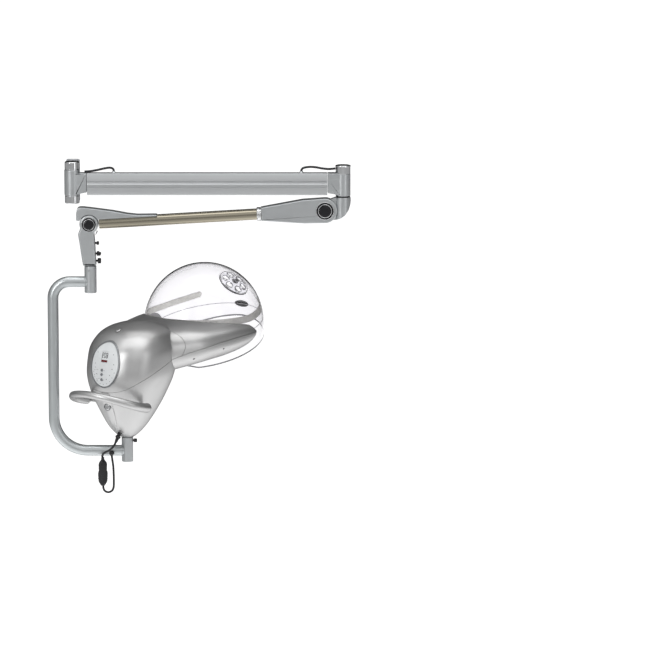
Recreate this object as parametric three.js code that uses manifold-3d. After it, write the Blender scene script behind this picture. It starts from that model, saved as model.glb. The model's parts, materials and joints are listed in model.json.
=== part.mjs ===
// Wall-mounted salon hood dryer on a boom, a balanced arm and a C-shaped frame.
// Millimetres, +Z up, +X along the boom, wall plane at Y = 0, room on the -Y side.
import * as THREE from 'three';
import { mergeVertices } from 'three/addons/utils/BufferGeometryUtils.js';
import Module from 'manifold-3d';

const wasm = await Module();
wasm.setup();

// ---------------------------------------------------------------- driving dimensions
const GAP = 0.3;                 // clearance kept between touching pieces
const ARM_PLANE_Y = -48;         // plane of post, boom, arm and C-frame
const POST_R = 21.3;             // boom hub on the wall post
const LUG_R = 20.2;
const PIN_R = 8;
const BOOM_H = 60;               // extruded profile
const BOOM_D = 38;
const BOOM_Z = -4;
const BOOM_X0 = 41;
const BOOM_X1 = 698;
const ELBOW_X = 740.8;           // second swing axis
const ARM_X = 691.6;             // lift pivot
const ARM_Z = -77;
const WRIST_X = 45.4;            // levelling pivot
const WRIST_Z = -114.7;
const ARM_TUBE_R = 15.7;
const FRAME_X = 48;              // vertical swivel of the C-frame
const FRAME_TUBE_R = 15;
const FRAME_LEFT_X = -55.8;
const FRAME_TOP_Z = -275.5;
const FRAME_LOW_Z = -747;
const STUB_X = 145.8;            // vertical swivel of the dryer
const STUB_R = 16;
const BODY_Z = -708;             // lowest point of the dryer body
const HOOD_YAW = 53;             // degrees, the way the hood points from +X towards +Y
const WALL = 3.5;                // moulded shell thickness
const DOME_F = 342;              // dome centre ahead of the stub axis
const DOME_A = 178;              // dome half length
const DOME_B = 166;              // dome half width
const DOME_EQ = 268;             // height of the widest level above the body's foot
const DOME_C = 176;              // dome height above its widest level
const DOME_LOW_C = 300;          // how slowly the dome narrows below its widest level
const DOME_T = 3;
const VENT_Z = 374;              // height of the flower vent's centre above the body's foot
const VENT_R = 46;
const VENT_PETALS = 6;
const BADGE_Z = 305;
// The lining strips seen from the side: distance forward and height of their middle line.
const STRIP_LINE = [[160, 298], [230, 298], [284, 299], [342, 301], [386, 308], [427, 317], [462, 330]];
const PANEL_Z = 214;             // centre of the control panel above the body's foot
const FACETS = 0.62;             // share of each round piece's nominal sides that is kept

// ---------------------------------------------------------------- materials
const FINISHES = {
  silver: ['#a9acad', 0.32, 0.85],
  aluminium: ['#b9bcbd', 0.4, 0.9],
  chrome: ['#d8dadc', 0.12, 1],
  nickel: ['#9c927a', 0.22, 1],
  steel: ['#8d9094', 0.4, 1],
  black: ['#17181a', 0.45, 0],
  clear: ['#dfdee8', 0.08, 0],
  greyBeige: ['#8e8b82', 0.5, 0],
  panel: ['#dcdddd', 0.4, 0],
  display: ['#3a1717', 0.2, 0],
};
const materials = Object.fromEntries(Object.entries(FINISHES).map(([key, [color, roughness, metalness]]) =>
  [key, new THREE.MeshStandardMaterial({ color, roughness, metalness, side: THREE.DoubleSide })]));

// ---------------------------------------------------------------- geometry helpers
const deg = THREE.MathUtils.degToRad;
const v3 = (x, y, z) => new THREE.Vector3(x, y, z);

function bare(geometry) {
  const copy = geometry.clone();
  copy.deleteAttribute('normal');
  copy.deleteAttribute('uv');
  return mergeVertices(copy, 1e-3);
}

function solid(geometry) {
  const merged = bare(geometry);
  return new wasm.Manifold(new wasm.Mesh({
    numProp: 3,
    vertProperties: new Float32Array(merged.attributes.position.array),
    triVerts: new Uint32Array(merged.index.array),
  }));
}

function geometryOf(manifold) {
  const mesh = manifold.getMesh();
  const geometry = new THREE.BufferGeometry();
  geometry.setAttribute('position', new THREE.BufferAttribute(mesh.vertProperties, 3));
  geometry.setIndex(new THREE.BufferAttribute(mesh.triVerts, 1));
  return geometry;
}

// A closed skin over equal rings of points; the first and last ring are capped flat.
function loft(rings) {
  const points = [];
  const faces = [];
  const n = rings[0].length;
  rings.forEach((ring) => ring.forEach((p) => points.push(p.x, p.y, p.z)));
  for (let k = 0; k + 1 < rings.length; k += 1) {
    for (let i = 0; i < n; i += 1) {
      const a = k * n + i;
      const b = k * n + (i + 1) % n;
      faces.push(a, b, a + n, b, b + n, a + n);
    }
  }
  for (const [ring, start, flip] of [[rings[0], 0, true], [rings.at(-1), (rings.length - 1) * n, false]]) {
    const centre = ring.reduce((sum, p) => sum.add(p), v3(0, 0, 0)).divideScalar(n);
    const c = points.length / 3;
    points.push(centre.x, centre.y, centre.z);
    for (let i = 0; i < n; i += 1) {
      const a = start + i;
      const b = start + (i + 1) % n;
      faces.push(...(flip ? [b, a, c] : [a, b, c]));
    }
  }
  const geometry = new THREE.BufferGeometry();
  geometry.setAttribute('position', new THREE.Float32BufferAttribute(points, 3));
  geometry.setIndex(faces);
  return geometry;
}

// A round bar between two points.
function bar(from, to, radius, sides = 24, endRadius = radius) {
  const facets = Math.max(8, Math.round(sides * FACETS));
  const geometry = new THREE.CylinderGeometry(endRadius, radius, from.distanceTo(to), facets);
  const turn = new THREE.Quaternion().setFromUnitVectors(v3(0, 1, 0), to.clone().sub(from).normalize());
  geometry.applyQuaternion(turn);
  const middle = from.clone().add(to).multiplyScalar(0.5);
  return geometry.translate(middle.x, middle.y, middle.z);
}

const post = (x, z0, z1, radius, sides, endRadius) =>
  bar(v3(x, ARM_PLANE_Y, z0), v3(x, ARM_PLANE_Y, z1), radius, sides, endRadius);
const crossBar = (x, z, y0, y1, radius, sides) =>
  bar(v3(x, ARM_PLANE_Y + y0, z), v3(x, ARM_PLANE_Y + y1, z), radius, sides);

function box(x0, x1, y0, y1, z0, z1) {
  return new THREE.BoxGeometry(x1 - x0, y1 - y0, z1 - z0)
    .translate((x0 + x1) / 2, (y0 + y1) / 2, (z0 + z1) / 2);
}

// An outline in the X-Z plane, given as a Shape (its y is height), with thickness from y0 to y1.
function plate(shape, y0, y1, curveSegments = 10) {
  const geometry = new THREE.ExtrudeGeometry(shape, { depth: y1 - y0, bevelEnabled: false, curveSegments });
  return geometry.rotateX(Math.PI / 2).translate(0, y1, 0);
}

// A turned piece about the vertical line at x, from a profile of [radius, z] pairs.
function turned(x, profile, sides = 32) {
  const outline = profile.map(([r, z]) => new THREE.Vector2(r, z));
  return new THREE.LatheGeometry(outline, Math.round(sides * FACETS))
    .rotateX(Math.PI / 2).translate(x, ARM_PLANE_Y, 0);
}

// A tube through corner points in the arm plane, each corner rounded to its own radius.
function bentTube(corners, radius, sides, arcSteps) {
  const centres = [];
  const along = [];
  corners.forEach(([x, z, bend], i) => {
    const here = v3(x, ARM_PLANE_Y, z);
    if (!bend) {
      const other = corners[i === 0 ? 1 : i - 1];
      const d = v3(other[0] - x, 0, other[1] - z).normalize().multiplyScalar(i === 0 ? 1 : -1);
      centres.push(here);
      along.push(d);
      return;
    }
    const into = here.clone().sub(v3(corners[i - 1][0], ARM_PLANE_Y, corners[i - 1][1])).normalize();
    const out = v3(corners[i + 1][0], ARM_PLANE_Y, corners[i + 1][1]).sub(here).normalize();
    const middle = here.clone().addScaledVector(into, -bend).addScaledVector(out, bend);
    for (let k = 0; k <= arcSteps; k += 1) {
      const t = (k / arcSteps) * Math.PI / 2;
      const s = Math.sin(t);
      const c = Math.cos(t);
      centres.push(middle.clone().addScaledVector(into, bend * s).addScaledVector(out, -bend * c));
      along.push(into.clone().multiplyScalar(c).addScaledVector(out, s));
    }
  });
  const side = v3(0, 1, 0);
  return loft(centres.map((centre, i) => {
    const up = along[i].clone().cross(side).negate();
    return Array.from({ length: sides }, (_, k) => {
      const t = (k / sides) * 2 * Math.PI;
      return centre.clone().addScaledVector(side, radius * Math.cos(t))
        .addScaledVector(up, -radius * Math.sin(t));
    });
  }));
}

// A bolt through a pivot with a round cover disc, raised in the middle, on both sides.
function pivotBolt(x, z, shank, half, discR, raisedR) {
  let bolt = solid(crossBar(x, z, -half - 2, half + 2, shank, 16));
  for (const s of [-1, 1]) {
    bolt = bolt.add(solid(crossBar(x, z, s * (half + GAP), s * (half + 2.4), discR, 28)));
    bolt = bolt.add(solid(crossBar(x, z, s * (half + 1), s * (half + 3.6), raisedR, 28)));
  }
  return bolt;
}

// A round flexible lead along its own route.
function lead(points, radius, steps) {
  const section = new THREE.Shape();
  section.absarc(0, 0, radius, 0, 2 * Math.PI);
  const extrudePath = new THREE.CatmullRomCurve3(points.map(([x, y, z]) => v3(x, y, z)));
  return new THREE.ExtrudeGeometry(section, { steps, extrudePath, curveSegments: 4, bevelEnabled: false });
}

// ---------------------------------------------------------------- scene graph
const dryer = new THREE.Group();

function add(name, shape, finish, group = dryer) {
  const geometry = shape.isBufferGeometry ? bare(shape) : geometryOf(shape);
  const mesh = new THREE.Mesh(geometry, materials[finish]);
  mesh.name = name;
  group.add(mesh);
  return mesh;
}

// ---------------------------------------------------------------- wall bracket
const LUG_Z0 = 34.7;
const LUG_Z1 = 58.7;
const PLATE_W = 38;
const PLATE_T = 8;

function wallBracket() {
  const screwZ = [-24, 24];
  let wallPlate = solid(box(-PLATE_W / 2, PLATE_W / 2, -PLATE_T, 0, -LUG_Z1, LUG_Z1));
  screwZ.forEach((z) => {
    wallPlate = wallPlate.subtract(solid(bar(v3(0, 5, z), v3(0, -PLATE_T - 5, z), 3.2, 16)));
  });
  add('wall_plate', wallPlate, 'steel');
  screwZ.forEach((z, i) => {
    const shank = solid(bar(v3(0, -0.5, z), v3(0, -PLATE_T - 2, z), 2.8, 12));
    const head = solid(bar(v3(0, -PLATE_T - GAP, z), v3(0, -PLATE_T - 3.5, z), 5.5, 20, 4));
    add(`wall_screw_${i ? 'upper' : 'lower'}`, shank.add(head), 'steel');
  });
  for (const [name, sign] of [['upper_lug', 1], ['lower_lug', -1]]) {
    const profile = [[0, LUG_Z0], [LUG_R, LUG_Z0], [LUG_R, LUG_Z1 - 3], [LUG_R - 3, LUG_Z1 - 0.6],
      [0, LUG_Z1]];
    const cap = solid(turned(0, sign > 0 ? profile : profile.map(([r, z]) => [r, -z]).reverse()));
    const z = [sign * LUG_Z0, sign * (LUG_Z1 - 3)].sort((a, b) => a - b);
    const neck = solid(box(-LUG_R + 3, LUG_R - 3, ARM_PLANE_Y, -PLATE_T - GAP, z[0], z[1]));
    const socket = solid(post(0, sign * (LUG_Z0 - 2), sign * 50, PIN_R + GAP, 24));
    add(name, cap.add(neck).subtract(socket), 'chrome');
  }
  add('post_pin', post(0, -49.5, 49.5, PIN_R, 24), 'steel');
}
wallBracket();

// ---------------------------------------------------------------- boom
const HUB_TOP = 34.4;
const BUSH_R = 13;
const LEAD_R = 3.2;

// An outline in the Y-Z plane about the arm plane, drawn out along X.
function drawn(outline, x0, x1) {
  const shape = new THREE.Shape(outline.map(([y, z]) => new THREE.Vector2(y, z)));
  return new THREE.ExtrudeGeometry(shape, { depth: x1 - x0, bevelEnabled: false })
    .rotateX(Math.PI / 2).rotateZ(Math.PI / 2).translate(x0, ARM_PLANE_Y, 0);
}

// The boom's section: a face leaning up, a groove, a rib, a shallow line and a face leaning down.
function boomProfile() {
  const half = BOOM_D / 2;
  const top = BOOM_Z + BOOM_H / 2;
  const low = BOOM_Z - BOOM_H / 2;
  const side = [[half - 5, top], [half, top - 20], [half - 3, top - 21.5], [half - 3, top - 27],
    [half, top - 29], [half, top - 36], [half - 1.5, top - 37], [half - 1.5, top - 39], [half, top - 40],
    [half - 4, low]];
  const outline = [...side, ...side.map(([y, z]) => [-y, z]).reverse()];
  const chamber = (y, z0, z1) =>
    solid(box(BOOM_X0 - 1, BOOM_X1 + 1, ARM_PLANE_Y - y, ARM_PLANE_Y + y, z0, z1));
  return solid(drawn(outline, BOOM_X0, BOOM_X1))
    .subtract(chamber(12, low + 4, BOOM_Z - 4))
    .subtract(chamber(10, BOOM_Z + 8, top - 4));
}

function boom() {
  const bore = solid(post(0, -40, 40, PIN_R + GAP, 24));
  const seats = [1, -1].map((s) => solid(post(0, s * (HUB_TOP - 12), s * 40, BUSH_R + GAP, 28)));
  let hub = solid(turned(0, [[0, -HUB_TOP], [POST_R - 1.5, -HUB_TOP], [POST_R, -HUB_TOP + 1.5],
    [POST_R, HUB_TOP - 1.5], [POST_R - 1.5, HUB_TOP], [0, HUB_TOP]]));
  const throat = solid(box(10, BOOM_X0 - GAP, ARM_PLANE_Y - 17, ARM_PLANE_Y + 17, BOOM_Z - 28, BOOM_Z + 31));
  hub = hub.add(throat);
  hub = hub.subtract(bore).subtract(seats[0]).subtract(seats[1]);
  add('boom_hub', hub, 'silver');
  [['upper', 1], ['lower', -1]].forEach(([name, s]) => {
    const outer = solid(post(0, s * (HUB_TOP - 12 + GAP), s * HUB_TOP, BUSH_R, 28));
    add(`hub_bush_${name}`, outer.subtract(bore), 'black');
  });
  add('boom_profile', boomProfile(), 'aluminium');

  const neck = solid(box(BOOM_X1 + GAP, ELBOW_X - 8, ARM_PLANE_Y - 17, ARM_PLANE_Y + 17,
    BOOM_Z - 28, BOOM_Z + 27));
  const elbowBore = solid(post(ELBOW_X, -45, 12, PIN_R + GAP, 24));
  const elbow = solid(post(ELBOW_X, -36.9, 24.2, 20.4, 32)).add(neck);
  add('elbow_hub', elbow.subtract(elbowBore), 'silver');
  const cap = turned(ELBOW_X, [[0, 24.5], [20.2, 24.5], [20.2, 45.5], [17.5, 48], [0, 48.7]]);
  add('elbow_cap', cap, 'chrome');

  const boomTop = BOOM_Z + BOOM_H / 2 + GAP;
  const y = ARM_PLANE_Y;
  const grommet = (x) =>
    solid(turned(x, [[0, boomTop], [6, boomTop], [5.5, boomTop + 1.6], [0, boomTop + 2]], 16));
  const left = lead([[36, y, 31], [50, y, 31.2], [70, y, 34], [90, y, 38.5], [104, y, 40],
    [111.5, y, 37.5], [114, y, 32.5], [114, y, boomTop + 1]], LEAD_R, 14);
  const right = lead([[627, y, boomTop + 1], [627, y, 32.5], [630, y, 38], [645, y, 42], [665, y, 41.5],
    [685, y, 38], [702, y, 36.5], [ELBOW_X - 20.2 - GAP, y, 38]], LEAD_R, 14);
  add('boom_lead_left', solid(left).add(grommet(114)), 'black');
  add('boom_lead_right', solid(right).add(grommet(627)), 'black');
}
boom();

// ---------------------------------------------------------------- elbow knuckle
const TONGUE = 11;               // half thickness of the knuckle's tongue
const ARM_HALF = 19;             // half depth of the arm housing
const ARM_HEAD_R = 34;           // round head of the arm housing

function elbow() {
  add('elbow_spindle', post(ELBOW_X, -44 + GAP, 11, PIN_R, 24), 'steel');
  add('elbow_washer', solid(post(ELBOW_X, -40.7, -37.2, 19.4, 32))
    .subtract(solid(post(ELBOW_X, -45, -30, PIN_R + GAP, 24))), 'black');
  const side = new THREE.Shape();
  side.moveTo(ELBOW_X - 21, -41);
  side.absarc(ARM_X, ARM_Z, 26, 0.75 * Math.PI, 1.5 * Math.PI);
  side.quadraticCurveTo(ELBOW_X - 18, -103, ELBOW_X - 5, -97);
  side.quadraticCurveTo(ELBOW_X + 19, -82, ELBOW_X + 21.5, -52);
  side.lineTo(ELBOW_X + 21, -41);
  const slab = solid(plate(side, ARM_PLANE_Y - 21, ARM_PLANE_Y + 21));
  const trunk = solid(post(ELBOW_X, -110, -30, 21.5, 36))
    .subtract(solid(crossBar(ARM_X, ARM_Z, -40, 40, ARM_HEAD_R + 1, 40)));
  const round = trunk.add(
    solid(box(ARM_X - 40, ELBOW_X, ARM_PLANE_Y - TONGUE, ARM_PLANE_Y + TONGUE, -112, -30)));
  const hole = solid(crossBar(ARM_X, ARM_Z, -30, 30, 6 + GAP, 20));
  const socket = solid(post(ELBOW_X, -44, -30, PIN_R + GAP, 24));
  add('knuckle', slab.intersect(round).subtract(hole).subtract(socket), 'silver');
}
elbow();

// ---------------------------------------------------------------- balanced arm
const ARM_SLOPE = Math.atan2(ARM_Z - WRIST_Z, ARM_X - WRIST_X);
const HOUSING_LEN = 175;         // housing from pivot to collar

// Distance d runs from the lift pivot towards the wrist, up is square to the arm.
const armPoint = (d, up) => v3(ARM_X - d * Math.cos(ARM_SLOPE) - up * Math.sin(ARM_SLOPE), ARM_PLANE_Y,
  ARM_Z - d * Math.sin(ARM_SLOPE) + up * Math.cos(ARM_SLOPE));

function arm() {
  const shape = new THREE.Shape();
  const upper = armPoint(HOUSING_LEN, 20);
  const lower = armPoint(HOUSING_LEN, -18);
  shape.moveTo(lower.x, lower.z);
  shape.absarc(ARM_X, ARM_Z, ARM_HEAD_R, deg(-95), deg(98));
  shape.lineTo(upper.x, upper.z);
  let housing = solid(plate(shape, ARM_PLANE_Y - ARM_HALF, ARM_PLANE_Y + ARM_HALF, 14));
  const slot = solid(box(ARM_X - 48, ARM_X + 40, ARM_PLANE_Y - TONGUE - 0.6, ARM_PLANE_Y + TONGUE + 0.6,
    -130, -30));
  const boltHole = solid(crossBar(ARM_X, ARM_Z, -30, 30, 6 + GAP, 20));
  const tubeHole = solid(bar(armPoint(70, 0), armPoint(HOUSING_LEN + 5, 0), ARM_TUBE_R + GAP, 28));
  housing = housing.subtract(slot).subtract(boltHole).subtract(tubeHole);
  add('arm_housing', housing, 'silver');

  add('arm_pivot_bolt', pivotBolt(ARM_X, ARM_Z, 6, ARM_HALF, 25, 18.5), 'black');
  const inner = solid(bar(armPoint(60, 0), armPoint(700, 0), ARM_TUBE_R - 2, 24));
  const tube = solid(bar(armPoint(82, 0), armPoint(619.5, 0), ARM_TUBE_R, 28)).subtract(inner);
  add('arm_tube', tube, 'nickel');
  const collar = solid(bar(armPoint(HOUSING_LEN + GAP, 0), armPoint(HOUSING_LEN + 12, 0), 19.5, 32, 18));
  const collarBore = solid(bar(armPoint(150, 0), armPoint(220, 0), ARM_TUBE_R + GAP, 28));
  add('arm_collar', collar.subtract(collarBore), 'chrome');
  add('balance_spring', solid(bar(armPoint(110, 0), armPoint(420, 0), 12.5, 20))
    .subtract(solid(bar(armPoint(80, 0), armPoint(450, 0), 8, 16))), 'steel');
}
arm();

// The wedge-shaped cover on top of the tube, with a tongue that hangs the wrist.
const TONGUE_END = 7;
const WRIST_HALF = 18;
const WRIST_HEAD_R = 26;
const WRIST_GAP_R = 27.2;
const SADDLE_UP = 12.5;          // the cover's side edges above the tube's centre line

function armEnd() {
  const shape = new THREE.Shape();
  const onTube = (x) => WRIST_Z + SADDLE_UP + (x - WRIST_X) * Math.tan(ARM_SLOPE);
  shape.moveTo(178, onTube(178));
  shape.lineTo(178, -84);
  shape.lineTo(30, -67.5);
  shape.quadraticCurveTo(10.5, -66, 10.5, -84);
  shape.lineTo(10.5, -105);
  shape.lineTo(WRIST_X, WRIST_Z + 10);
  shape.lineTo(WRIST_X + 24, onTube(WRIST_X + 24));
  const head = solid(crossBar(WRIST_X, WRIST_Z, -40, 40, WRIST_GAP_R, 40));
  const tube = solid(bar(armPoint(620, 0), armPoint(400, 0), ARM_TUBE_R + GAP, 28));
  const hole = solid(crossBar(WRIST_X, WRIST_Z, -30, 30, 5 + GAP, 20));
  const disc = solid(crossBar(WRIST_X, WRIST_Z, -TONGUE_END, TONGUE_END, 17, 28));
  const neck = solid(box(WRIST_X - 12, WRIST_X + 12, ARM_PLANE_Y - TONGUE_END, ARM_PLANE_Y + TONGUE_END,
    WRIST_Z, -80));
  const cover = solid(plate(shape, ARM_PLANE_Y - WRIST_HALF, ARM_PLANE_Y + WRIST_HALF)).subtract(head);
  add('arm_end_cover', cover.add(disc).add(neck).subtract(tube).subtract(hole), 'silver');
}
armEnd();

// ---------------------------------------------------------------- wrist
const WRIST_LOW = -229;
const SOCKET_R = 9;
const SIDE_FITTINGS = { screw: -168, lever: -197, knob: -217 };

const sideBar = (z, x0, x1, radius, sides) =>
  bar(v3(x0, ARM_PLANE_Y, z), v3(x1, ARM_PLANE_Y, z), radius, sides);

function wrist() {
  const shape = new THREE.Shape();
  shape.moveTo(29, WRIST_LOW);
  shape.lineTo(64.6, WRIST_LOW);
  shape.lineTo(59.5, -141);
  shape.absarc(WRIST_X, WRIST_Z, WRIST_HEAD_R, deg(-50), deg(205));
  shape.lineTo(15, -142);
  let housing = solid(plate(shape, ARM_PLANE_Y - WRIST_HALF, ARM_PLANE_Y + WRIST_HALF, 16));
  const slot = solid(box(0, 90, ARM_PLANE_Y - TONGUE_END - 0.6, ARM_PLANE_Y + TONGUE_END + 0.6,
    WRIST_Z - 19, -80));
  const hole = solid(crossBar(WRIST_X, WRIST_Z, -30, 30, 5 + GAP, 20));
  const bore = solid(post(FRAME_X, WRIST_LOW - 2, -164, SOCKET_R + GAP, 24));
  [slot, hole, bore].forEach((cut) => { housing = housing.subtract(cut); });
  Object.values(SIDE_FITTINGS).forEach((z) => {
    housing = housing.subtract(solid(sideBar(z, 50, 90, 3 + GAP, 12)));
  });
  add('wrist_housing', housing, 'silver');
  add('wrist_pivot_bolt', pivotBolt(WRIST_X, WRIST_Z, 5, WRIST_HALF, 20.5, 12.5), 'black');
  const { screw, lever, knob } = SIDE_FITTINGS;
  const fitting = (z, stemEnd, x0, x1, radius, sides) =>
    solid(sideBar(z, 58, stemEnd, 3, 12)).add(solid(sideBar(z, x0, x1, radius, sides)));
  const paddle = solid(box(70, 76, ARM_PLANE_Y - 17, ARM_PLANE_Y + 17, lever - 3.2, lever + 3.2));
  add('wrist_lock_screw', fitting(screw, 71, 66, 73, 5.2, 18), 'black');
  add('wrist_lock_lever', fitting(lever, 72, 66, 73, 6.5, 20).add(paddle), 'black');
  add('wrist_knob', fitting(knob, 70, 68, 78, 7.5, 10), 'black');
}
wrist();

// ---------------------------------------------------------------- C-frame
const LOCK_Z = -719;             // knob that locks the dryer's swivel
const BALL_R = 7.5;
const BALL_X = 103;
const BALL_Z = -750;
const SPIGOT_SEAT = -252;        // bottom of the spigot's bore in the upper fitting

function cFrame() {
  add('frame_spigot', post(FRAME_X, SPIGOT_SEAT + GAP, -166, SOCKET_R, 24), 'steel');
  const sleeve = solid(turned(FRAME_X, [[0, -305.5], [14.6, -305.5], [16.6, -303.5], [16.6, -233], [15, -231],
    [0, -231]])).subtract(solid(post(FRAME_X, SPIGOT_SEAT, -228, SOCKET_R + GAP, 24)));
  const tubeSeat = solid(sideBar(FRAME_TOP_Z, FRAME_X - 30, FRAME_X - 8, FRAME_TUBE_R + GAP, 28));
  add('upper_fitting', sleeve.subtract(tubeSeat), 'silver');
  add('c_tube', bentTube([[FRAME_X - 8 - GAP, FRAME_TOP_Z, 0], [FRAME_LEFT_X, FRAME_TOP_Z, 72],
    [FRAME_LEFT_X, FRAME_LOW_Z, 135], [STUB_X - 8 - GAP, FRAME_LOW_Z, 0]], FRAME_TUBE_R, 16, 6), 'silver');
  const stub = solid(turned(STUB_X, [[0, -778], [14, -778], [STUB_R, -776], [STUB_R, -713], [13, -709.6],
    [0, -709.6]]));
  const stubSeat = solid(sideBar(FRAME_LOW_Z, STUB_X - 30, STUB_X - 8, FRAME_TUBE_R + GAP, 28));
  const knobHole = solid(sideBar(LOCK_Z, STUB_X + 3.7, STUB_X + 30, 3 + GAP, 12));
  const stem = solid(post(STUB_X, -712, -640, SOCKET_R, 24));
  add('lower_stub', stub.add(stem).subtract(stubSeat).subtract(knobHole), 'silver');
  const knob = solid(sideBar(LOCK_Z, STUB_X + 5, STUB_X + 20, 3, 12))
    .add(solid(sideBar(LOCK_Z, STUB_X + 17.5, STUB_X + 27, 5.5, 10)));
  add('frame_lock_knob', knob, 'black');
  const ball = new THREE.SphereGeometry(BALL_R, 14, 9).rotateX(Math.PI / 2);
  add('cord_ball', ball.translate(BALL_X, ARM_PLANE_Y - FRAME_TUBE_R - BALL_R - GAP, BALL_Z), 'black');
}
cFrame();

// ---------------------------------------------------------------- dryer head
// Inside this group +X is forward to the hood, +Y sideways, and the origin is the body's foot.
const head = new THREE.Group();
head.position.set(STUB_X, ARM_PLANE_Y, BODY_Z);
head.rotation.z = deg(HOOD_YAW);
dryer.add(head);

// Body sections: height, forward shift of the centre, half length, half width.
const BODY_ROWS = [
  [0, 0, 17, 17], [6, 0, 26, 26], [30, 1, 49, 48], [80, 6, 80, 77], [125, 9, 102, 98],
  [173, 16, 118, 113], [215, 23, 120, 116], [252, 33, 119, 114], [283, 42, 103, 99], [300, 46, 83, 79],
  [311, 49, 55, 52], [318, 51, 20, 19],
];
// Fork sections: distance forward, middle height, half height, half width.
const FORK_ROWS = [
  [20, 234, 68, 100], [60, 235, 67, 116], [100, 238, 66, 138], [146, 243, 64, 163],
  [200, 248, 62, 179], [260, 253, 60, 189], [315, 258, 51, 190], [340, 262, 37, 186], [354, 265, 13, 178],
];
const BODY_SHAPE = 2.3;          // squareness of the body's sections
const FORK_SHAPE = 2.4;          // squareness of the fork's sections
const BODY_SIDES = 28;
const FORK_SIDES = 20;
const DOME_SIDES = 28;

// A cosine or sine squared off towards a rounder rectangle.
const squared = (value, shape) => Math.sign(value) * Math.abs(value) ** (2 / shape);

const bodySolid = (grow, z0 = 0) => solid(loft(BODY_ROWS.filter(([z]) => z >= z0).map(([z, shift, a, b]) =>
  Array.from({ length: BODY_SIDES }, (_, i) => {
    const t = (i / BODY_SIDES) * 2 * Math.PI;
    return v3(shift + (a + grow) * squared(Math.cos(t), BODY_SHAPE),
      (b + grow) * squared(Math.sin(t), BODY_SHAPE), z + (z > 250 ? grow : 0));
  }))));

const forkSolid = (shrink) => solid(loft(FORK_ROWS.map(([f, z, h, w]) =>
  Array.from({ length: FORK_SIDES }, (_, i) => {
    const t = (i / FORK_SIDES) * 2 * Math.PI;
    return v3(f, squared(Math.cos(t), FORK_SHAPE) * Math.max(w - shrink, 1),
      z + squared(Math.sin(t), FORK_SHAPE) * Math.max(h - shrink, 0.8));
  }))));

// Height of the dome's lower edge at an angle from the front.
function rimHeight(angle) {
  const back = (1 - Math.cos(angle)) / 2;
  const curl = 16 * Math.max(0, -Math.cos(angle) - 0.82) / 0.18;
  return DOME_EQ + 2 - 104 * back ** 0.85 * (1.18 - 0.18 * back) + curl;
}

const dropOff = (dz) => Math.sqrt(1 - (dz / DOME_LOW_C) ** 2);
const domeRing = (k, z, grow) => Array.from({ length: DOME_SIDES }, (_, i) => {
  const t = (i / DOME_SIDES) * 2 * Math.PI;
  const height = typeof z === 'function' ? z(t) : z;
  const width = k ?? dropOff(height - DOME_EQ);
  return v3(DOME_F + (DOME_A + grow) * width * Math.cos(t), (DOME_B + grow) * width * Math.sin(t), height);
});

// A solid block with the dome's outer shape, from a lower edge up to its crown.
const DOME_RISES = [15, 31, 47, 63, 78];
function domeBlock(grow, lowerEdge = () => DOME_EQ - 160) {
  const rings = [0, 1 / 3, 2 / 3, 1].map((u) =>
    domeRing(null, (t) => lowerEdge(t) * (1 - u) + DOME_EQ * u, grow));
  DOME_RISES.forEach((rise) => {
    rings.push(domeRing(Math.cos(deg(rise)), DOME_EQ + (DOME_C + grow) * Math.sin(deg(rise)), grow));
  });
  return solid(loft(rings));
}

function domeShell() {
  return domeBlock(0, rimHeight).subtract(domeBlock(-DOME_T, (t) => rimHeight(t) - 1));
}

// The parting line between lower and upper shells, seen from the side, raised by an offset.
const SEAM = [[-160, 96], [-98, 137], [-60, 168], [-10, 194], [50, 216], [110, 236], [180, 252],
  [260, 262], [400, 268]];

function aboveSeam(offset) {
  const line = new THREE.SplineCurve(SEAM.map(([f, z]) => new THREE.Vector2(f, z + offset))).getPoints(32);
  const shape = new THREE.Shape(line);
  shape.lineTo(400, 420);
  shape.lineTo(-160, 420);
  return solid(new THREE.ExtrudeGeometry(shape, { depth: 500, bevelEnabled: false })
    .rotateX(Math.PI / 2).translate(0, 250, 0));
}

// Everything behind the rear cover's curved front edge.
function behindArc(offset) {
  const shape = new THREE.Shape();
  shape.moveTo(-170, 60);
  shape.lineTo(76 + offset, 60);
  shape.lineTo(80 + offset, 222);
  shape.quadraticCurveTo(112 + offset, 276, 74 + offset, 308);
  shape.lineTo(50 + offset, 330);
  shape.lineTo(-170, 330);
  return solid(new THREE.ExtrudeGeometry(shape, { depth: 500, bevelEnabled: false, curveSegments: 8 })
    .rotateX(Math.PI / 2).translate(0, 250, 0));
}

const headBar = (from, to, radius, sides, endRadius) => bar(v3(...from), v3(...to), radius, sides, endRadius);

// A point on the rear of the body at a height, and the way out of it.
function rearPoint(z, out = 0) {
  const k = BODY_ROWS.findIndex(([height]) => height > z);
  const [z0, s0, a0] = BODY_ROWS[k - 1];
  const [z1, s1, a1] = BODY_ROWS[k];
  const t = (z - z0) / (z1 - z0);
  return s0 + (s1 - s0) * t - (a0 + (a1 - a0) * t) - out;
}

const BUTTONS = { heat_button: -14, air_button: -26, time_button: -40 };   // height from the panel's centre
const BUTTON_R = 3.8;
const BUTTON_SIDE = 4;           // the buttons sit a little to one side of the panel's centre line
const PANEL_HALF_W = 50;
const PANEL_HALF_H = 64;
const DISPLAY_W = 22;
const DISPLAY_H = 30;
const DISPLAY_Z = 22;
const WINDOW_Z0 = PANEL_Z + DISPLAY_Z - DISPLAY_H / 2;
const WINDOW_Z1 = PANEL_Z + DISPLAY_Z + DISPLAY_H / 2;
const SPINE_HALF_W = 17;
const POWER_Z = 96;
const POWER_R = 9;
const TOP_KNOB = [-35, 0, 301];  // the knob's foot on the sloping rear of the crown
const TOP_KNOB_AXIS = [-0.423, 0, 0.906];
const HANDLE_R = 10;
const HANDLE_FLARE = 4;         // how much thicker the handle is at its ends
const HANDLE_F = -36;            // where the handle's ends meet the body's sides
const HANDLE_Z = 97;
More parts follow.
